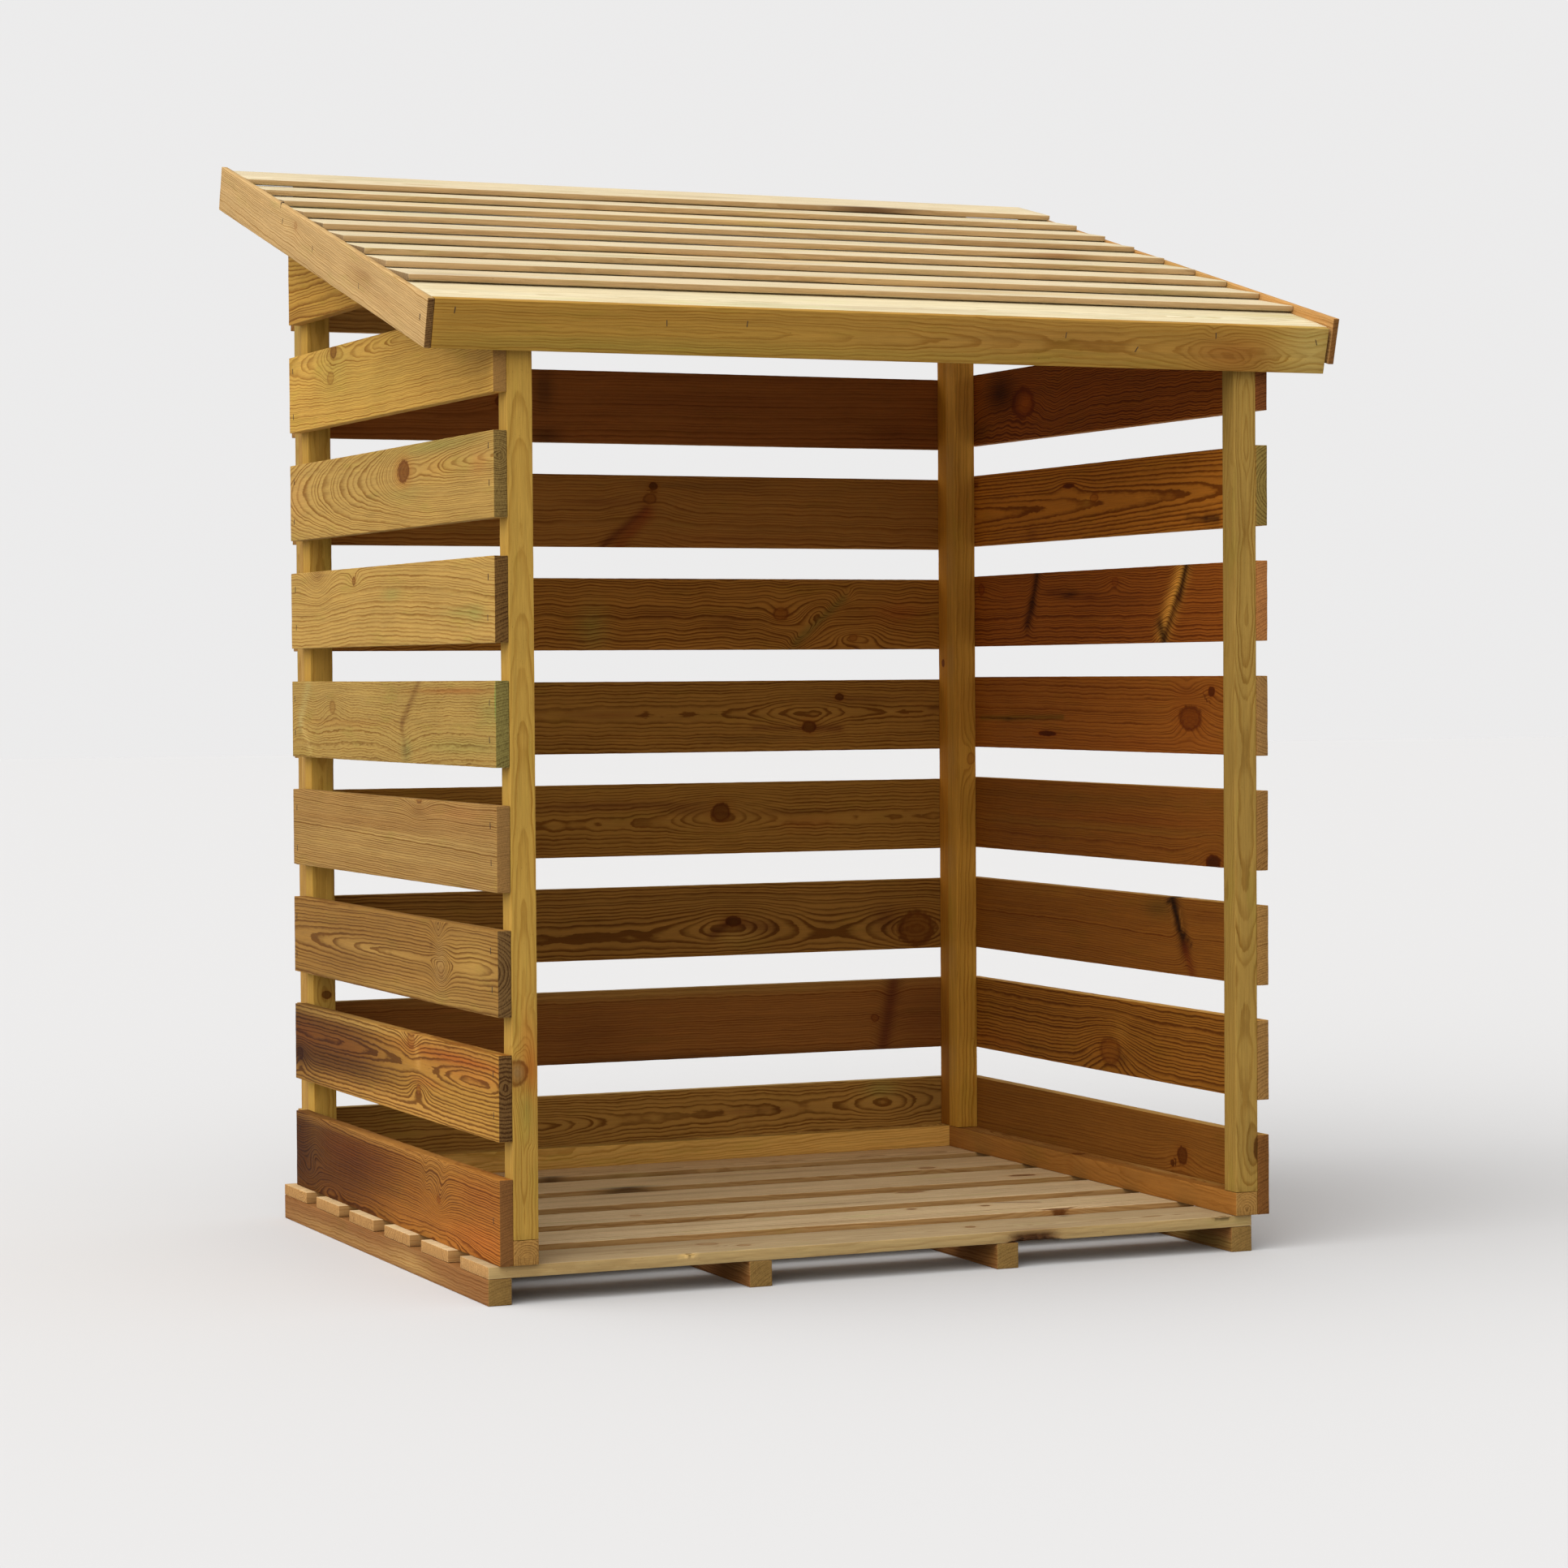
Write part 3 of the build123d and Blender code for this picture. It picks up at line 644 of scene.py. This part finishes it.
def weathered(shaped, out, b, box, size, rng):
    """A board's points with its slight bow, wander, saw marks, nicks, rebate and skew ends."""
    shaped = shaped.copy()
    u, v, w = box.T
    run = u / size[0]
    bow, wander, skew = rng.uniform(-BOW, BOW), rng.uniform(-WANDER, WANDER), rng.uniform(-SKEW, SKEW, 2)
    saw_marks = SAW_MARKS
    if b["lip"]:
        bow, saw_marks = 0.0, FINE_SAW_MARKS
    shaped[:, 2] += bow * 2.4 * run * (1 - run)
    shaped[:, 1] += wander * np.sin(3.1 * run + rng.uniform(0, TURN)) * np.sin(3.1416 * run)
    for _ in range(SAW_WAVES):
        wave = TURN / rng.uniform(18, 170)
        turn_u, turn_v = rng.uniform(0, TURN, 2)
        dent = saw_marks * np.sin(u * wave + turn_u + v * 0.05) * np.sin(v * 0.09 + turn_v + w * 0.2)
        shaped -= out * np.abs(dent)[:, None]
    for at, half, depth, _, _ in b["nick"]:
        ragged = 1 + 0.4 * np.sin(u * 0.9) * np.sin(u * 0.31)
        shaped -= out * (depth * hollow(box, at, half, 1.3) * ragged)[:, None]
    if b["lip"]:
        rise = LIP_RISE + LIP_SWAY * np.sin(u / 61 + b["stray"][2]) * np.sin(u / 173 + b["stray"][5])
        shaped[:, 2] += rise * np.clip(1 - v / LIP, 0, 1) * (1 - w / size[2])
    shaped[:, 0] += (skew[0] * (1 - run) + skew[1] * run) * 0.5 * (v / size[1] - 0.5)
    return shaped


def side_share(direction):
    """How far a point belongs to a side, from its outward direction."""
    return np.clip(direction * 1.6 - 0.5, 0, 1)


def toward(tone, colour, share):
    """Tones moved toward a linear colour by a share."""
    return tone + share[:, None] * (colour - tone)


def linear(rgb):
    """An sRGB colour, 0 to 255, as linear values."""
    c = np.array(rgb) / 255.0
    return np.where(c <= 0.04045, c / 12.92, ((c + 0.055) / 1.055) ** 2.4)


def tones(b, u, v, out, box):
    """The linear colour at each point of a board, before its rings and fibre."""
    plain = linear(b["tone"])
    end, edge = side_share(np.abs(out[:, 0])), side_share(np.abs(out[:, 1]))
    tone = np.tile(plain, (len(box), 1))
    if "edge_tone" in b:
        tone = toward(tone, linear(b["edge_tone"]), edge)
    for *place, colour, strength in b["patch"]:
        tone = toward(tone, linear(colour), strength * spot(u, v, *place))
    for *place, colour, strength in b["streak"]:
        tone = toward(tone, linear(colour), strength * stroke(u, v, *place))
    # the outer face keeps the outer colour, so the painted shade in the tone and tint stays on the inner face
    if "outer" in b:
        marks = (tone / plain) ** 0.4
        tone = toward(tone, linear(b["outer"]) / b["tint"] * marks, side_share(out[:, 2]))
    tone = tone * b["tint"]
    for at, half, _, colour, strength in b["nick"]:
        tone = toward(tone, linear(colour), strength * hollow(box, at, half, 1.5))
    return toward(tone, linear(b["end_tone"]), end)


def wood_values(b, box, out, place, corners, directions, rng):
    """What the material reads at each point of a board: grain, rings, knot, tone, face and look."""
    real = place - corners[0, 0, 0]
    u, v, w = (real @ direction for direction in directions)
    u = u - min(0.0, float(((corners - corners[0, 0, 0]) @ directions[0]).min()))
    grain = np.stack([u, v, w], axis=1) * MM + rng.uniform(-40, 40, 3)
    rings = rings_at(b, u, v, w) + rng.uniform(0, 9)
    nearest = np.full(len(box), 99.0)
    knot = np.tile((FAR, 0.0, 0.0), (len(box), 1))
    for knot_u, knot_v, half_u, half_v, depth in b["knot"]:
        a, c = (u - knot_u) / half_u, (v - knot_v) / half_v
        far = np.hypot(a, c)
        closer = far < nearest
        nearest = np.where(closer, far, nearest)
        knot[closer] = np.stack([a, c, np.clip((3.6 - far) / 0.8, 0, 1) * depth], axis=1)[closer]
    arris = np.clip(1.0 - np.abs(out).max(axis=1), 0, 0.42) / 0.42
    contrast = b["contrast"] * (1.0 - 0.5 * side_share(np.abs(out[:, 1])))
    return dict(
        grain=grain, rings=rings, knot=knot, tone=tones(b, u, v, out, box),
        face=np.stack([side_share(np.abs(out[:, 0])), arris, contrast], axis=1),
        look=np.tile([b["fuzz"], b["end_mark"], 0.0], (len(box), 1)),
    )


def box_quads(index, flip):
    """Quads of the six sides of a grid of point numbers, facing outward."""
    quads = []
    for grid, outward in (
        (index[:, :, -1], True), (index[:, :, 0], False), (index[:, 0, :], True),
        (index[:, -1, :], False), (index[0, :, :], False), (index[-1, :, :], True),
    ):
        quad = np.stack([grid[:-1, :-1], grid[1:, :-1], grid[1:, 1:], grid[:-1, 1:]], axis=-1).reshape(-1, 4)
        quads.append(quad if outward != flip else quad[:, ::-1])
    return np.concatenate(quads)


def board_mesh(sides, facts, rng, slot):
    """Points, quads and the wood's values at each point of one board."""
    corners, directions = corner_box(sides)
    e_u, e_v, e_w = directions
    first = corners[0, 0, 0]
    length = np.linalg.norm(corners[1, 0, 0] - first + corners[1, 1, 1] - corners[0, 1, 1]) / 2
    size = np.array([length, abs((corners[0, 1, 0] - first) @ e_v), abs((corners[0, 0, 1] - first) @ e_w)])
    b = completed(facts, rng, size[0], size[1], slot)
    places = mesh_lines(b, size, SLOTS[slot][2])
    skin = np.ones([len(marks) for marks in places], dtype=bool)
    skin[1:-1, 1:-1, 1:-1] = False
    index = np.full(skin.shape, -1)
    index[skin] = np.arange(skin.sum())
    box = np.stack([marks[at] for marks, at in zip(places, np.nonzero(skin))], axis=1)
    shaped, out = rounded(box, size)
    shares = weathered(shaped, out, b, box, size, rng) / size
    place = np.zeros(box.shape)
    for at in np.ndindex(2, 2, 2):
        place += np.where(at, shares, 1 - shares).prod(axis=1)[:, None] * corners[at]
    quads = box_quads(index, np.dot(np.cross(e_u, e_v), e_w) < 0)
    return place * MM, quads, wood_values(b, box, out, place, corners, directions, rng)


def staple_mesh(sides, marks, length=7.5, wire=1.1, proud=0.35, leg=4.0, bend=1.0, steps=4, turns=8):
    """Points and quads of bent wire staples, driven in until their backs stand just proud of the board."""
    corners, (e_u, e_v, e_w) = corner_box(sides)
    points, quads = [], []
    for u, v, outward, tilt in marks:
        normal = e_w * outward
        back = corners[0, 0, int(outward > 0)] + e_u * u + e_v * v + normal * (proud - wire / 2)
        run = e_v * math.cos(tilt) + e_u * math.sin(tilt)
        other = np.cross(normal, run)
        arc = []
        for step in range(steps + 1):
            angle = math.pi / 2 * step / steps
            arc.append((length / 2 - bend + bend * math.cos(angle), bend * (1.0 - math.sin(angle))))
        half = [(length / 2, leg), *arc]
        path = np.array(
            [back - run * far - normal * deep for far, deep in half]
            + [back + run * far - normal * deep for far, deep in reversed(half)]
        )
        first = len(points) * turns
        ring = np.arange(turns) * 2 * math.pi / turns
        for i, place in enumerate(path):
            ahead = path[min(i + 1, len(path) - 1)] - path[max(i - 1, 0)]
            lift = np.cross(ahead / np.linalg.norm(ahead), other)
            points.append(place + (np.cos(ring)[:, None] * other + np.sin(ring)[:, None] * lift) * wire / 2)
        for i in range(len(path) - 1):
            for j in range(turns):
                a, b = first + i * turns + j, first + i * turns + (j + 1) % turns
                quads.append((a, b, b + turns, a + turns))
    return np.concatenate(points) * MM, np.array(quads), {}


def placed(name, data):
    """A new object in the scene."""
    obj = bpy.data.objects.new(name, data)
    bpy.context.scene.collection.objects.link(obj)
    return obj


def mesh_object(name, parts):
    """One object from several boards' points, quads and values."""
    points = np.concatenate([part[0] for part in parts])
    starts = np.cumsum([0] + [len(part[0]) for part in parts])
    quads = np.concatenate([part[1] + start for part, start in zip(parts, starts)])
    mesh = bpy.data.meshes.new(name)
    mesh.vertices.add(len(points))
    mesh.vertices.foreach_set("co", points.astype(np.float32).ravel())
    mesh.loops.add(quads.size)
    mesh.loops.foreach_set("vertex_index", quads.astype(np.int32).ravel())
    mesh.polygons.add(len(quads))
    mesh.polygons.foreach_set("loop_start", np.arange(0, quads.size, 4, dtype=np.int32))
    mesh.update(calc_edges=True)
    mesh.polygons.foreach_set("use_smooth", np.ones(len(quads), dtype=bool))
    for key in parts[0][2]:
        data = np.concatenate([part[2][key] for part in parts]).astype(np.float32)
        kind, field = ("FLOAT", "value") if data.ndim == 1 else ("FLOAT_VECTOR", "vector")
        if key == "tone":
            data = np.concatenate([data, np.ones((len(data), 1), dtype=np.float32)], axis=1)
            kind, field = "FLOAT_COLOR", "color"
        mesh.attributes.new(key, kind, "POINT").data.foreach_set(field, data.ravel())
    return placed(name, mesh)


# ---------------------------------------------------------------- materials
class Value:
    """A number in a node tree, for plain arithmetic."""

    def __init__(self, graph, socket):
        self.graph, self.socket = graph, socket

    def __add__(self, other):
        return self.graph.math("ADD", self, other)

    def __sub__(self, other):
        return self.graph.math("SUBTRACT", self, other)

    def __mul__(self, other):
        return self.graph.math("MULTIPLY", self, other)

    __radd__ = __add__


class Graph:
    """Short calls that add nodes to a material or the world."""

    def __init__(self, owner):
        owner.use_nodes = True
        self.tree = owner.node_tree
        self.tree.nodes.clear()

    def node(self, kind, inputs=(), **settings):
        """A new node with its settings, and its inputs by name or number."""
        made = self.tree.nodes.new(kind)
        for key, value in settings.items():
            setattr(made, key, value)
        for key, value in dict(inputs).items():
            self.put(made.inputs[key], value)
        return made

    def put(self, socket, value):
        """Link a socket to an output, or give it a constant."""
        value = value.socket if isinstance(value, Value) else value
        if isinstance(value, bpy.types.NodeSocket):
            self.tree.links.new(value, socket)
        elif socket.type == "RGBA":
            socket.default_value = (*value, 1.0)
        else:
            socket.default_value = value

    def attribute(self, name, output):
        return self.node("ShaderNodeAttribute", attribute_type="GEOMETRY", attribute_name=name).outputs[output]

    def math(self, operation, a, b=0.0, clamp=False):
        made = self.node("ShaderNodeMath", {0: a, 1: b}, operation=operation, use_clamp=clamp)
        return Value(self, made.outputs[0])

    def vector(self, operation, a, b, output="Vector"):
        return self.node("ShaderNodeVectorMath", {0: a, 1: b}, operation=operation).outputs[output]

    def split(self, vector):
        made = self.node("ShaderNodeSeparateXYZ", {0: vector})
        return [Value(self, output) for output in made.outputs]

    def noise(self, where, scale, detail=1.0, rough=0.5):
        inputs = {"Vector": self.vector("MULTIPLY", where, scale), "Scale": 1.0, "Detail": detail, "Roughness": rough}
        made = self.node("ShaderNodeTexNoise", inputs, noise_dimensions="3D")
        return Value(self, made.outputs["Fac"])

    def noise_line(self, where, detail):
        made = self.node("ShaderNodeTexNoise", {"W": where, "Scale": 1.0, "Detail": detail}, noise_dimensions="1D")
        return Value(self, made.outputs["Fac"])

    def ease(self, value, low, high, to_low=0.0, to_high=1.0):
        """From to_low at low to to_high at high, with soft ends."""
        names = ("Value", "From Min", "From Max", "To Min", "To Max")
        inputs = zip(names, (value, low, high, to_low, to_high))
        made = self.node("ShaderNodeMapRange", inputs, interpolation_type="SMOOTHSTEP")
        return Value(self, made.outputs[0])

    def mix(self, share, a, b, blend="MIX"):
        return self.node("ShaderNodeMix", {0: share, 6: a, 7: b}, data_type="RGBA", blend_type=blend).outputs[2]

    def times(self, colour, factor):
        return self.mix(1.0, colour, factor, "MULTIPLY")

    def surface(self, colour, roughness, specular=0.5, **others):
        inputs = {"Base Color": colour, "Roughness": roughness, "Specular IOR Level": specular, **others}
        return self.node("ShaderNodeBsdfPrincipled", inputs).outputs[0]

    def blend(self, share, first, second):
        """One shader turning into another."""
        return self.node("ShaderNodeMixShader", {0: share, 1: first, 2: second}).outputs[0]

    def end(self, shader, kind="ShaderNodeOutputMaterial"):
        self.node(kind, {"Surface": shader})


# noises of the wood: scale along and across the grain, a metre; detail; roughness
NOISES = {
    "ring place": (14.0, 90.0, 1.0, 0.5),
    "ring edge": (85.0, 380.0, 1.0, 0.5),
    "ring fade": (10.0, 55.0, 1.0, 0.5),
    "fibre": (60.0, 1700.0, 2.0, 0.6),
    "streak": (6.0, 170.0, 3.0, 0.6),
    "thread": (18.0, 620.0, 2.0, 0.7),
    "cloud": (7.0, 18.0, 1.0, 0.5),
    "knot edge": (150.0, 150.0, 2.0, 0.5),
    "stain": (9.0, 40.0, 3.0, 0.6),
    "pores": (900.0, 900.0, 1.0, 0.5),
    "wear_and_highlight": (60.0, 200.0, 2.0, 0.5),
    "specks": (240.0, 520.0, 2.0, 0.7),
    "saw": (420.0, 90.0, 1.0, 0.5),
}
SAW_HATCH = (300.0, 260.0, 900.0)  # scale of the saw marks on the ends, along, across and through
# what these places of the wood multiply its linear colour by
EARLY_WOOD = (1.12, 1.12, 1.12)
KNOT_HALO = (0.84, 0.62, 0.40)
SOUND_KNOT = (0.74, 0.52, 0.34)
DEAD_KNOT = (0.28, 0.17, 0.10)
KNOT_RINGS = (0.60, 0.50, 0.42)
KNOT_RIM = (0.34, 0.18, 0.09)
GREEN_STAIN = (0.80, 1.0, 0.66)
END_RINGS = (0.34, 0.26, 0.20)
OPEN_PORES = (1.7, 1.65, 1.5)
# worn arrises are paler, and the same lift is a painted highlight on them
ARRIS_WEAR_AND_HIGHLIGHT = (1.36, 1.38, 1.42)
DEEP_LATE = 0.66  # how much darker the late wood is where the contrast is strong
BUMP_STRENGTH, BUMP_DEPTH = 0.5, 0.0008


def timber(name, late):
    """Sawn, pressure-treated softwood: rings, fibre, knots, green stain and worn arrises with a painted highlight."""
    material = bpy.data.materials.new(name)
    g = Graph(material)
    grain = g.attribute("grain", "Vector")
    tone = g.attribute("tone", "Color")
    rings = Value(g, g.attribute("rings", "Fac"))
    knot_u, knot_v, knot = g.split(g.attribute("knot", "Vector"))
    end, arris, contrast = g.split(g.attribute("face", "Vector"))
    fuzz, end_mark, _ = g.split(g.attribute("look", "Vector"))

    def noise(kind):
        along, across, detail, rough = NOISES[kind]
        return g.noise(grain, (along, across, across), detail, rough)

    def sway(value, size):
        """A noise moved about zero."""
        return (value - 0.5) * size

    # rings: uneven width, a soft inner side and a sharp outer side
    phase = rings + sway(noise("ring place"), 0.34) + sway(noise("ring edge"), 1.7) * (fuzz * 0.4 + 0.07)
    phase = phase + sway(g.noise_line(rings * 0.43, 1.0), 1.5)
    part = g.math("FRACT", phase)
    fade = sway(noise("ring fade"), 1.3) + 1.0
    fade = fade * g.ease(g.noise_line(g.math("FLOOR", phase) * 3.71, 0.0), 0.3, 0.7, 0.7, 1.2)
    line = g.ease(part, 0.36, 0.84) * g.ease(part, 0.88, 1.0, 1.0, 0.0) * fade
    line = g.math("MULTIPLY", line, contrast * 1.7, clamp=True)

    # fibre, streaks and specks of dirt
    fibre, streak = noise("fibre"), noise("streak")
    light = sway(fibre, 0.26) + sway(streak, 0.34) + sway(noise("cloud"), 0.16) + sway(noise("thread"), 0.5) + 1.0
    light = light * g.ease(noise("specks"), 0.67, 0.78, 1.0, 0.62)

    # knots: a ragged dark rim, rings inside and a warm ring outside
    far = g.math("SQRT", knot_u * knot_u + knot_v * knot_v) + sway(noise("knot edge"), 0.5)
    core = g.ease(far, 0.86, 1.06, 1.0, 0.0) * knot
    rim = g.ease(far, 0.6, 0.92) * g.ease(far, 0.98, 1.22, 1.0, 0.0) * knot
    halo = g.ease(far, 0.9, 2.4, 1.0, 0.0) * knot * 0.4
    wheel = g.ease(g.math("FRACT", far * 3.2), 0.25, 0.95) * 0.4

    warm = g.mix(halo, tone, g.times(tone, KNOT_HALO))
    deep_late = g.times(warm, [DEEP_LATE * value for value in late])
    late_wood = g.mix(g.ease(contrast, 0.4, 0.85), g.times(warm, late), deep_late)
    wood = g.mix(line, g.times(warm, EARLY_WOOD), late_wood)
    wood = g.mix(g.ease(noise("stain"), 0.54, 0.74, 0.0, 0.3), wood, g.times(wood, GREEN_STAIN))
    heart = g.mix(g.ease(knot, 0.6, 1.0), g.times(tone, SOUND_KNOT), g.times(tone, DEAD_KNOT))
    wood = g.mix(core, wood, g.mix(wheel, heart, g.times(heart, KNOT_RINGS)))
    wood = g.mix(rim * 0.85, wood, g.times(tone, KNOT_RIM))

    # end grain: ring arcs, saw hatch and open pores
    hatch = g.ease(g.noise(grain, SAW_HATCH), 0.45, 0.62, 0.0, 0.35)
    arcs = g.math("MULTIPLY", line + hatch, end_mark, clamp=True)
    end_wood = g.mix(arcs, tone, g.times(tone, END_RINGS))
    end_wood = g.mix(g.ease(noise("pores"), 0.60, 0.72, 0.0, 0.3), end_wood, g.times(tone, OPEN_PORES))
    wood = g.mix(end, wood, end_wood)

    # arrises worn pale with a painted highlight, then the light and dark of the fibre over everything
    wood = g.mix(arris * g.ease(noise("wear_and_highlight"), 0.38, 0.6, 0.1, 0.75), wood, g.times(tone, ARRIS_WEAR_AND_HIGHLIGHT))
    grey = g.node("ShaderNodeCombineXYZ", {axis: light for axis in range(3)}).outputs[0]

    height = line * -0.35 + fibre * 0.5 + noise("saw") * fuzz * 0.9 + rim * -0.8
    bump = g.node("ShaderNodeBump", {"Strength": BUMP_STRENGTH, "Distance": BUMP_DEPTH, "Height": height}).outputs[0]
    g.end(g.surface(g.times(wood, grey), streak * 0.18 + 0.63, 0.07, Normal=bump))
    return material


def dull_steel(name):
    """Blackened wire with rust freckles."""
    material = bpy.data.materials.new(name)
    g = Graph(material)
    where = g.node("ShaderNodeTexCoord").outputs["Object"]
    rust = g.ease(g.noise(where, (900.0, 900.0, 900.0), 2.0, 0.6), 0.42, 0.62)
    colour = g.mix(rust, (0.020, 0.016, 0.013), (0.060, 0.026, 0.012))
    g.end(g.surface(colour, rust * 0.3 + 0.55, Metallic=0.3))
    return material


# ---------------------------------------------------------------- the pieces
SEED, NODE_SEEDS = 1000, 20  # the first seed, and how many seeds each node has for its boards
MATERIALS = {slot: timber(f"{slot}_look", late) for slot, (_, late, _) in SLOTS.items()}
staples = {}
for order, (node, cad) in enumerate(sorted(frame["nodes"].items())):
    slot = slot_of(node)
    parts = []
    for number, sides in enumerate(loose_parts(cad)):
        rng = np.random.default_rng(SEED + order * NODE_SEEDS + number)
        parts.append(board_mesh(sides, BOARDS.get((node, number), {}), rng, slot))
        if (node, number) in STAPLES:
            staples.setdefault(node, []).append(staple_mesh(sides, STAPLES[(node, number)]))
    piece = mesh_object(f"{node}_wood", parts)
    piece.data.materials.append(MATERIALS[slot])
    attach(piece, "root")
    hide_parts(node)

STEEL = dull_steel("staple_steel_look")
for node, parts in staples.items():
    piece = mesh_object(f"{node}_staples", parts)
    piece.data.materials.append(STEEL)
    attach(piece, "root")


# ---------------------------------------------------------------- studio
FLOOR_HALF = 30.0
FLOOR_COLOUR, FLOOR_ROUGHNESS, FLOOR_SPECULAR = (0.62, 0.62, 0.63), 0.9, 0.1
FLOOR_BOUNCE = (0.40, 0.40, 0.40)  # the floor's colour for light that it throws on the wood
BACKDROP = (0.84, 0.835, 0.835)
LIGHT_COLOUR = (1.0, 0.99, 0.97)
KEY_DIRECTION, KEY_SHARPNESS = (-0.78, -0.36, 0.74), 3.0
KEY_LIGHT, TOP_LIGHT, EVEN_LIGHT = 3.2, 0.35, 0.30

floor_mesh = bpy.data.meshes.new("studio_floor")
corners = [(x * FLOOR_HALF, y * FLOOR_HALF, 0.0) for x, y in ((-1, -1), (1, -1), (1, 1), (-1, 1))]
floor_mesh.from_pydata(corners, [], [(0, 1, 2, 3)])
floor = placed("studio_floor", floor_mesh)
floor_look = bpy.data.materials.new("studio_floor_look")
g = Graph(floor_look)
path = g.node("ShaderNodeLightPath").outputs
seen = g.math("MAXIMUM", path["Is Camera Ray"], path["Is Glossy Ray"])
seen = g.math("MAXIMUM", seen, path["Is Transmission Ray"])
bounce = g.node("ShaderNodeBsdfDiffuse", {"Color": FLOOR_BOUNCE}).outputs[0]
g.end(g.blend(seen, bounce, g.surface(FLOOR_COLOUR, FLOOR_ROUGHNESS, FLOOR_SPECULAR)))
floor_mesh.materials.append(floor_look)

# soft light: even and from above, with one wide bright side at the left, and none from below
world = bpy.data.worlds.new("studio")
bpy.context.scene.world = world
g = Graph(world)
where = g.node("ShaderNodeTexCoord").outputs["Generated"]
height = g.split(where)[2]
key = tuple(np.array(KEY_DIRECTION) / np.linalg.norm(KEY_DIRECTION))
facing = g.math("MAXIMUM", g.vector("DOT_PRODUCT", where, key, "Value"), 0.0)
strength = g.math("POWER", facing, KEY_SHARPNESS) * KEY_LIGHT + g.math("MAXIMUM", height, 0.0) * TOP_LIGHT + EVEN_LIGHT
strength = strength * g.math("GREATER_THAN", height, 0.0)
light = g.node("ShaderNodeBackground", {"Color": LIGHT_COLOUR, "Strength": strength}).outputs[0]
backdrop = g.node("ShaderNodeBackground", {"Color": BACKDROP}).outputs[0]
camera_ray = g.node("ShaderNodeLightPath").outputs["Is Camera Ray"]
g.end(g.blend(camera_ray, light, backdrop), "ShaderNodeOutputWorld")

# the photograph's camera: place in metres, turns in degrees, lens and sensor in millimetres
CAMERA_PLACE = (-1.9267, -4.50524, 0.69676)
YAW, PITCH, ROLL = 23.482, -1.5866, -0.35834
LENS, SENSOR = 90.38, 36.0
camera_data = bpy.data.cameras.new("camera")
camera_data.sensor_fit = "HORIZONTAL"
camera_data.sensor_width, camera_data.lens = SENSOR, LENS
camera_data.clip_start, camera_data.clip_end = 0.05, 200.0
camera = placed("camera", camera_data)
camera.matrix_world = Matrix.Translation(CAMERA_PLACE)
for angle, axis in ((-YAW, "Z"), (90.0 + PITCH, "X"), (ROLL, "Z")):
    camera.matrix_world @= Matrix.Rotation(math.radians(angle), 4, axis)
bpy.context.scene.camera = camera
bpy.context.scene.view_settings.view_transform = "Standard"
